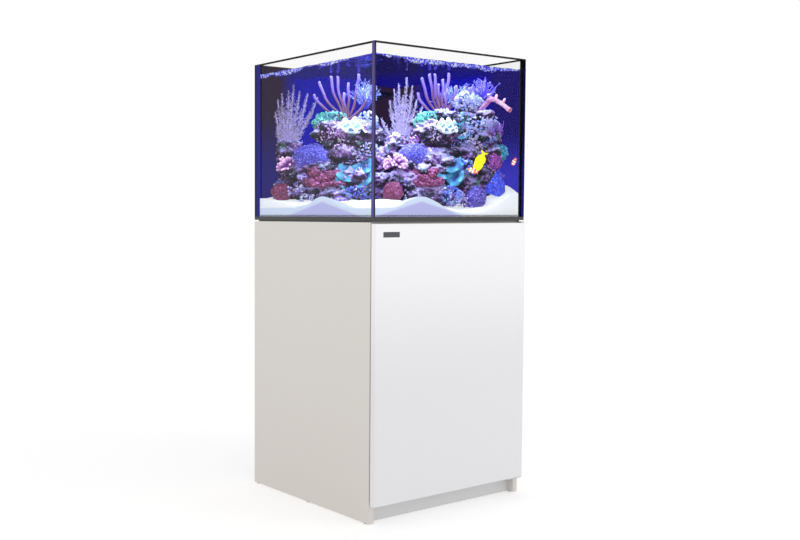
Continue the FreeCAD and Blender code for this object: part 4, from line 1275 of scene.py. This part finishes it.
        # place, half width, depth, number of folds and tilt
        caps = [
            ((21, 5, 13.5), 3.2, 1.5, 5, -0.35), ((24, 5, 15.5), 3.0, 1.6, 6, 0.2),
            ((19, 5, 11), 2.8, 1.3, 5, -0.7), ((24.5, 6, 11.5), 2.9, 1.5, 5, 0.5),
            ((27, 2, 25.5), 2.6, 0.9, 5, 0.3), ((26.5, 2, 29.5), 2.8, 1.0, 5, 0.1),
            ((-8, 3, 13.5), 4.0, 1.6, 5, -0.3), ((-3, 3, 15.5), 3.6, 1.6, 6, 0.2),
            ((-9, 3, 11), 3.4, 1.4, 5, -0.6), ((-3, 4, 11.5), 3.4, 1.5, 5, 0.4),
        ]
        for number, (place, width, depth, folds, tilt) in enumerate(caps):
            bm = bmesh.new()
            bm.verts.layers.float.new("tip")
            wide, deep = width * 0.01, depth * 0.01

            def shape(turn, rise, wide=wide, deep=deep, folds=folds, number=number):
                angle = turn * math.tau
                reach = min(1.0, rise / 0.62)
                under = max(0.0, (rise - 0.62) / 0.38)
                wave = 0.8 * math.sin(folds * angle + number) + 0.25 * math.sin((folds + 3) * angle - number)
                fold = wave * reach**2
                radius = wide * math.sin(reach * math.pi / 2) * (1 + 0.14 * fold) * (1 - 0.7 * under)
                z = deep * (0.55 * math.cos(reach * math.pi * 0.55) + 0.5 * fold * (1 - under) - 1.5 * under)
                dimple = deep * 0.5 * math.exp(-((reach / 0.3) ** 2))
                at = polar(radius, angle, z - dimple)
                at.y *= 0.85
                return at

            sheeted(bm, 72, 26, shape)
            bmesh.ops.holes_fill(bm, edges=[edge for edge in bm.edges if edge.is_boundary], sides=0)
            tip = bm.verts.layers.float.get("tip")
            for vert in bm.verts:
                vert[tip] = max(0.0, 1 - abs(vert[tip] - 0.5) * 2.6)
            seated(bm, place, Matrix.Rotation(0.9, 4, ALONG) @ Matrix.Rotation(tilt, 4, AHEAD))
            roughened(bm, 0.0012, 130.0, number, 3)
            finished(f"leather_coral_{number + 1}", bm, teal, "coral")

    def plates(self):
        """Red plating corals: knobbly maroon lumps and shelves with pink rims."""
        red = living("Red plates", shade(72, 24, 46), shade(176, 92, 146), 0.16, 0.6, 200.0, 0.0014)
        lumps = [
            (13.6, 5, 13.2, 2.0, 1.6, 1.9), (15.2, 6, 11.4, 2.6, 1.8, 1.5), (17.8, 6, 12.4, 2.2, 1.8, 2.0),
            (12.8, 6, 10.4, 2.0, 1.6, 1.3), (15.6, 7, 9.6, 2.6, 2.0, 0.7), (18.2, 7, 10.2, 2.2, 1.8, 0.7),
            (-17.6, 3, 13.6, 2.8, 1.8, 1.9), (-16, 3, 11.6, 3.6, 2.0, 1.5), (-12.6, 3, 12.4, 3.1, 2.0, 2.0),
            (-18.8, 4, 10.4, 2.8, 1.8, 1.3), (-15, 4.5, 9.6, 3.6, 2.2, 0.7),
            (-11.6, 4.5, 10.2, 3.0, 2.0, 0.7),
        ]
        for number, place in enumerate(lumps):
            tilt = 0.3 * math.sin(number * 2.3)
            self.lump(f"red_plate_{number + 1}", place, red, 5, 0.0032, 130.0, 0.008, number + 20, tilt)

    def clams(self):
        """Giant clams: a ribbed shell and a ruffled, bright mantle."""
        white = living("White mantle", shade(96, 144, 176), shade(232, 240, 255), 0.3, 0.5, 260.0, 0.001)
        green = living("Green mantle", shade(54, 150, 130), shade(226, 248, 238), 0.45, 0.7, 200.0, 0.0008)
        # place, half width, depth and height of the mouth, mantle and slant
        clams = [
            ((21.8, 3, 26.6), 0.031, 0.022, 0.02, white, 0.15),
            ((-6.5, 2, 27), 0.047, 0.022, 0.02, white, 0.12),
            ((38.2, 0.5, 1.7), 0.02, 0.014, 0.013, green, -0.5),
        ]
        facing = Matrix.Rotation(math.atan2(ALONG.y, ALONG.x), 4, "Z") @ Matrix.Rotation(0.95, 4, "X")
        for number, (place, wide, deep, tall, material, slant) in enumerate(clams):
            bm = bmesh.new()
            bm.verts.layers.float.new("tip")

            def lip(lean, phase, wide=wide, deep=deep, tall=tall):
                """One ruffled lip of the mantle, leaning to one side of the shell's mouth."""

                def shape(turn, rise):
                    across = 2 * turn - 1
                    outline = math.sqrt(max(0.0, 1 - across * across))
                    wave = math.sin(turn * 19 + phase) + 0.25 * math.sin(turn * 41)
                    out = deep * rise * (lean * (0.5 + 0.5 * outline) + 0.42 * wave * outline)
                    height = 0.25 + outline * (rise - 0.25 * rise * rise) * 1.2
                    return Vector((wide * across, out, tall * height))

                return shape

            def shell(turn, rise, wide=wide, deep=deep, tall=tall):
                angle = turn * math.tau
                bowl = math.sin(rise * math.pi / 2) * (1 + 0.05 * math.cos(18 * angle))
                at = polar(bowl, angle, 0.45 - 1.25 * math.cos(rise * math.pi / 2))
                return Vector((wide * 0.93 * at.x, deep * 0.9 * at.y, tall * at.z))

            for lean, phase in ((-1.1, 0.0), (-0.2, 2.0), (0.8, 4.0)):
                sheeted(bm, 110, 12, lip(lean, phase), closed=False, thickness=0.0022)
            sheeted(bm, 90, 14, shell, thickness=0.0014)
            ball(bm, (0, 0, tall * 0.35), (wide * 0.8, deep * 0.75, tall * 0.6), 4)
            seated(bm, place, facing @ Matrix.Rotation(slant, 4, "Y"))
            finished(f"clam_{number + 1}", bm, material, "coral")

    def tube_branch(self):
        """A pale branch that reaches out to the right and ends in an open pink cup."""
        material = living("Tube branch", shade(150, 74, 134), shade(250, 214, 240), 0.36, 1.6, 90.0, 0.0024)
        path = [
            (31, 1, 31.5), (33, 1, 33.5), (34.8, 1, 35.6), (36.4, 0.7, 35.2),
            (38, 0.5, 34.3), (39.4, 0.3, 33.2), (40.4, 0.1, 32.4),
        ]
        widths = [0.006, 0.007, 0.009, 0.0066, 0.007, 0.0064, 0.0074]
        strand = [(spot(*place), width, i / 6) for i, (place, width) in enumerate(zip(path, widths))]
        # each stub's root and knob, how far its tip stands off, and its three radii
        stubs = [
            ((36.2, 0.7, 35.2), (36.6, 1.0, 36.6), (0.1, 0, 0.3), (0.004, 0.0042, 0.002)),
            ((34.6, 1, 35.2), (34.2, 1.3, 36.8), (0, 0, 0.3), (0.005, 0.0046, 0.002)),
            ((38.4, 0.5, 34.0), (39.0, 0.9, 35.4), (0.1, 0, 0.3), (0.004, 0.0038, 0.0018)),
        ]
        strands = [strand]
        for root, knob, off, radii in stubs:
            end = [a + b for a, b in zip(knob, off)]
            strands.append(list(zip([spot(*root), spot(*knob), spot(*end)], radii, (0.3, 0.6, 1.0))))
        tubes("tube_branch", strands, material, "coral", 4)
        bm = bmesh.new()
        bm.verts.layers.float.new("tip")

        def cup(turn, rise):
            return polar(0.0039 * (1 + rise**0.5), turn * math.tau, 0.008 * rise - 0.002)

        sheeted(bm, 28, 6, cup, thickness=0.0014)
        aim = (ALONG * 0.8 - UP * 0.45 + AHEAD * 0.55).to_track_quat("Z", "Y").to_matrix().to_4x4()
        seated(bm, path[-1], aim)
        mouth = living("Tube mouth", shade(92, 34, 62), shade(214, 122, 150), 0.3)
        finished("tube_mouth", bm, mouth, "coral")

    def small_rounds(self):
        """Round and cone-shaped colonies with raised cells."""
        rust = living("Rust polyps", shade(92, 30, 44), shade(150, 84, 138), 0.22, 0.7, 160.0)
        violet = living("Violet ball", shade(22, 16, 96), shade(150, 132, 240), 0.26, 0.7, 260.0)
        blue = living("Blue cone", shade(18, 26, 170), shade(110, 130, 250), 0.36, 0.6, 240.0)
        spotted = living("Spotted crust", shade(44, 22, 104), shade(196, 96, 180), 0.3, 0.9, 120.0)
        teal = living("Teal round", shade(20, 74, 120), shade(86, 176, 196), 0.36, 0.5, 160.0)
        # name, place and half sizes, flesh, height and scale of its cells, roughness and tilt
        rounds = [
            ("rust_polyps_1", (5.8, 8, 7.2, 2.7, 2.6, 3.4), rust, 0.0034, 150.0, 0.005, 0.2),
            ("rust_polyps_2", (-28.4, -0.6, 7.4, 3.2, 2.4, 3.3), rust, 0.0034, 150.0, 0.005, 0.0),
            ("violet_ball", (30.6, 5, 5.6, 2.9, 2.6, 3.6), violet, 0.0034, 150.0, 0.004, 0.35),
            ("spotted_crust", (36, 1, 16.8, 2.6, 2.2, 2.8), spotted, 0.0036, 140.0, 0.006, 0.0),
            ("teal_round", (38, 0, 19.5, 2.1, 1.8, 2.5), teal, 0.004, 120.0, 0.004, 0.0),
        ]
        for seed, (name, place, material, depth, scale, rough, tilt) in enumerate(rounds):
            self.lump(name, place, material, 5, depth, scale, rough, seed, tilt)
        bm = bmesh.new()
        bm.verts.layers.float.new("tip")

        def cone(turn, rise):
            angle = turn * math.tau
            radius = 0.032 * math.sin(min(1.0, rise * 1.15) * math.pi / 2) ** 1.2
            at = polar(radius, angle, 0.045 - 0.085 * rise)
            return Vector((at.x * (1 + 0.18 * math.sin(3 * angle + 1)), at.y * 0.7, at.z))

        sheeted(bm, 90, 44, cone)
        bmesh.ops.holes_fill(bm, edges=[edge for edge in bm.edges if edge.is_boundary], sides=0)
        turn = Matrix.Rotation(math.atan2(ALONG.y, ALONG.x), 4, "Z") @ Matrix.Rotation(0.25, 4, "Y")
        seated(bm, (36.6, 1.2, 10.4), turn)
        roughened(bm, 0.004, 60.0, 8, 3)
        pimpled(bm, 0.0034, 160.0)
        made = finished("blue_cone", bm, blue, "coral")
        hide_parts("coral_colonies")


# ---------------------------------------------------------------- fish


class AQUARIUM_OT_fish(AquariumStep):
    """Builds a yellow tang and two clownfish"""

    bl_idname = "aquarium.fish"
    bl_label = "Fish"

    def build(self):
        yellow = self.tang_finish()
        tang = self.fish("yellow_tang", 0.064, 0.36, 0.13, yellow, (31.4, 6, 16.2), (0.15, -1.12, 0.1))
        for number, length, place, turn in (
            (1, 0.032, (29.3, 7, 13.8), (0.1, 0.35, 0.1)),
            (2, 0.026, (42.2, -0.6, 16.6), (0.1, -1.1, 0.2)),
        ):
            skin = self.clown_finish(f"Clownfish {number}")
            self.fish(f"clownfish_{number}", length, 0.38, 0.2, skin, place, turn)
        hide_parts("fish")

    def fish(self, name, length, height, breadth, material, place, turn):
        """A fish with its nose towards -X: body, tail, fins and eyes."""
        bm = bmesh.new()
        tip = bm.verts.layers.float.new("tip")

        def body(turn_share, rise):
            angle = turn_share * math.tau
            x = rise - 0.5
            swell = max(0.0, math.sin(min(1.0, rise**0.72) * math.pi)) ** 0.75
            stem = min(1.0, rise * 8) * (rise < 0.999)
            tall = height * 0.5 * swell + 0.035 * stem
            wide = breadth * 0.5 * swell**0.9 + 0.012 * stem
            return Vector((x * 0.86, wide * math.cos(angle), tall * math.sin(angle)))

        sheeted(bm, 32, 40, body)

        def fin(profile, thickness=0.012):
            """A flat fin through its outline points."""
            verts = [bm.verts.new((x, 0, z)) for x, z in profile]
            face = bm.faces.new(verts)
            made = bmesh.ops.solidify(bm, geom=[face], thickness=thickness)["geom"]
            moved = [g for g in made if isinstance(g, bmesh.types.BMVert)]
            bmesh.ops.translate(bm, vec=(0, thickness / 2, 0), verts=list({*moved, *verts}))

        top = height / 2
        tail = [(0.38, 0.02), (0.52, 0.17), (0.58, 0.19), (0.53, 0.07)]
        fin([*tail, (0.52, 0.0), *((x, -z) for x, z in reversed(tail))])
        back = [(-0.22, 0.82), (-0.1, 1.3), (0.1, 1.42), (0.3, 1.15), (0.38, 0.45), (0.3, 0.3), (0.0, 0.8)]
        belly = [(-0.05, -0.85), (0.1, -1.35), (0.28, -1.15), (0.38, -0.45), (0.3, -0.3), (0.1, -0.8)]
        pelvic = [(-0.16, -0.7), (-0.1, -1.35), (-0.04, -1.2), (-0.06, -0.75)]
        for outline in (back, belly, pelvic):
            fin([(x, top * z) for x, z in outline])
        for vert in bm.verts:
            vert[tip] = vert.co.x + 0.5
        for side in (-1, 1):
            for vert in ball(bm, (-0.33, side * breadth * 0.33, top * 0.22), (0.028, 0.02, 0.028), 2):
                vert[tip] = -1.0
            root = (-0.1, side * breadth * 0.62, -top * 0.12)
            for vert in ball(bm, root, (0.085, 0.008, 0.05), 2, (0, 0.4, side * 0.5)):
                vert[tip] = 0.31
        scale = Matrix.Diagonal((length, length, length, 1))
        facing = Matrix.Rotation(math.atan2(ALONG.y, ALONG.x), 4, "Z")
        aim = Euler(turn).to_matrix().to_4x4()
        seated(bm, place, facing @ aim @ scale)
        return finished(name, bm, material, "fish_skin")

    def tang_finish(self):
        f = Finish("Tang skin")
        where = f.layer("tip")
        fine = f.noise(900.0, 2.0)
        colour = f.blend(fine * 0.35, shade(252, 236, 10), shade(214, 176, 0))
        colour = f.blend(f.mask(where, -0.5, -0.8), colour, (0.005, 0.005, 0.01, 1))
        # Painted light: the skin glows in its own colour.
        more = {"Emission_Color": colour, "Emission_Strength": 0.55, "Normal": f.bump(fine, 0.0003)}
        return f.done(f.surface(colour, 0.4, **more))

    def clown_finish(self, name):
        """Orange with three white bands edged in black."""
        f = Finish(name)
        where = f.layer("tip")
        colour = shade(250, 116, 20)
        for centre, half in ((0.26, 0.05), (0.55, 0.06), (0.87, 0.04)):
            away = abs(where - centre)
            colour = f.blend(f.mask(away, half + 0.022, half + 0.012), colour, (0.01, 0.01, 0.01, 1))
            colour = f.blend(f.mask(away, half + 0.008, half), colour, shade(250, 250, 255))
        colour = f.blend(f.mask(where, -0.5, -0.8), colour, (0.005, 0.005, 0.01, 1))
        # Painted light: the skin glows in its own colour.
        more = {"Emission_Color": colour, "Emission_Strength": 0.5}
        return f.done(f.surface(colour, 0.4, **more))


# ---------------------------------------------------------------- studio


class AQUARIUM_OT_studio(AquariumStep):
    """Sets up the floor, the lights, the white studio and the camera"""

    bl_idname = "aquarium.studio"
    bl_label = "Studio"

    def build(self):
        self.floor()
        self.world()
        self.lights()
        self.camera()
        bpy.context.scene.view_settings.view_transform = "Standard"

    def floor(self):
        bm = bmesh.new()
        bmesh.ops.create_grid(bm, x_segments=1, y_segments=1, size=40.0)
        mesh = bpy.data.meshes.new("studio_floor")
        bm.to_mesh(mesh)
        bm.free()
        f = Finish("Studio floor")
        shader = f.surface((0.86, 0.86, 0.86, 1), 0.9, Emission_Color=(1, 1, 1, 1), Emission_Strength=0.34)
        mesh.materials.append(f.done(shader))
        floor = bpy.data.objects.new("studio_floor", mesh)
        bpy.context.scene.collection.objects.link(floor)
        floor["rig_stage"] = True

    def world(self):
        world = bpy.data.worlds.new("White studio")
        bpy.context.scene.world = world
        f = Finish("White studio", world)
        seen = f.make("ShaderNodeLightPath", output="Is Camera Ray")
        fill = settings().studio_fill
        strength = seen * (1.05 - fill) + fill
        background = f.make("ShaderNodeBackground", None, {"Color": (1, 1, 1, 1), "Strength": strength})
        f.make("ShaderNodeOutputWorld", None, {"Surface": background})

    def lamp(self, name, place, aim, size, power, colour, only=None):
        """A soft rectangular lamp; only is the pieces that it lights, or None for all."""
        light = bpy.data.lights.new(name, "AREA")
        light.shape = "RECTANGLE"
        light.size, light.size_y = size
        light.energy = power
        light.color = colour
        made = bpy.data.objects.new(name, light)
        made.location = place
        made.rotation_euler = (Vector(aim) - Vector(place)).to_track_quat("-Z", "Y").to_euler()
        made.visible_camera = False
        made.visible_glossy = False
        bpy.context.scene.collection.objects.link(made)
        if only:
            group = bpy.data.collections.new(name + " pieces")
            for piece in only:
                group.objects.link(piece)
            made.light_linking.receiver_collection = group
        return made

    def lights(self):
        s = settings()
        self.lamp("Key light", (2.3, -3.4, 2.6), (0, 0, 0.8), (1.6, 1.6), s.key_power, (1.0, 1.0, 1.0))
        inside = ("live_rock", "coral", "coral_sand", "fish_skin")
        made = [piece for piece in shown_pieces() if "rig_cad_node" not in piece]
        reef = [piece for piece in made if piece.get("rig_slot") in inside]
        middle = ((LEFT + RIGHT) / 2, (FRONT + BACK) / 2 - 0.05, s.water_level + 0.02)
        under = (middle[0], middle[1], 0)
        self.lamp("Reef lamp", middle, under, (0.45, 0.4), s.lamp_power, (0.72, 0.8, 1.0), reef)
        near = (-0.8, -0.95, 1.32)
        power = s.lamp_power * 0.6
        self.lamp("Reef front lamp", near, (0, 0, 1.02), (0.5, 0.4), power, (0.66, 0.72, 1.0), reef)

    def camera(self):
        camera = bpy.data.cameras.new("Camera")
        camera.lens = 46.05
        camera.sensor_width = 36
        camera.shift_x = 0.1735
        made = bpy.data.objects.new("Camera", camera)
        made.location = (-2.126, -2.3767, 0.8588)
        made.rotation_euler = (math.radians(86.808), 0, math.radians(-34.798))
        bpy.context.scene.collection.objects.link(made)
        bpy.context.scene.camera = made


# ---------------------------------------------------------------- panel and run


STEPS = [
    AQUARIUM_OT_cabinet, AQUARIUM_OT_plumbing, AQUARIUM_OT_tank, AQUARIUM_OT_water, AQUARIUM_OT_sand,
    AQUARIUM_OT_rock, AQUARIUM_OT_corals, AQUARIUM_OT_fish, AQUARIUM_OT_studio,
]


class AQUARIUM_PT_panel(bpy.types.Panel):
    """The aquarium's settings and build steps"""

    bl_label = "Aquarium"
    bl_idname = "AQUARIUM_PT_panel"
    bl_space_type = "VIEW_3D"
    bl_region_type = "UI"
    bl_category = "Aquarium"

    def draw(self, context):
        for name in AquariumSettings.__annotations__:
            self.layout.prop(context.scene.aquarium_looks, name)
        for step in STEPS:
            self.layout.operator(step.bl_idname)


def register():
    for made in (AquariumSettings, *STEPS, AQUARIUM_PT_panel):
        bpy.utils.register_class(made)
    bpy.types.Scene.aquarium_looks = bpy.props.PointerProperty(type=AquariumSettings)


def unregister():
    del bpy.types.Scene.aquarium_looks
    for made in reversed((AquariumSettings, *STEPS, AQUARIUM_PT_panel)):
        bpy.utils.unregister_class(made)


def main():
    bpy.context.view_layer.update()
    register()
    for step in STEPS:
        category, name = step.bl_idname.split(".")
        getattr(getattr(bpy.ops, category), name)()


if __name__ == "__main__":
    main()
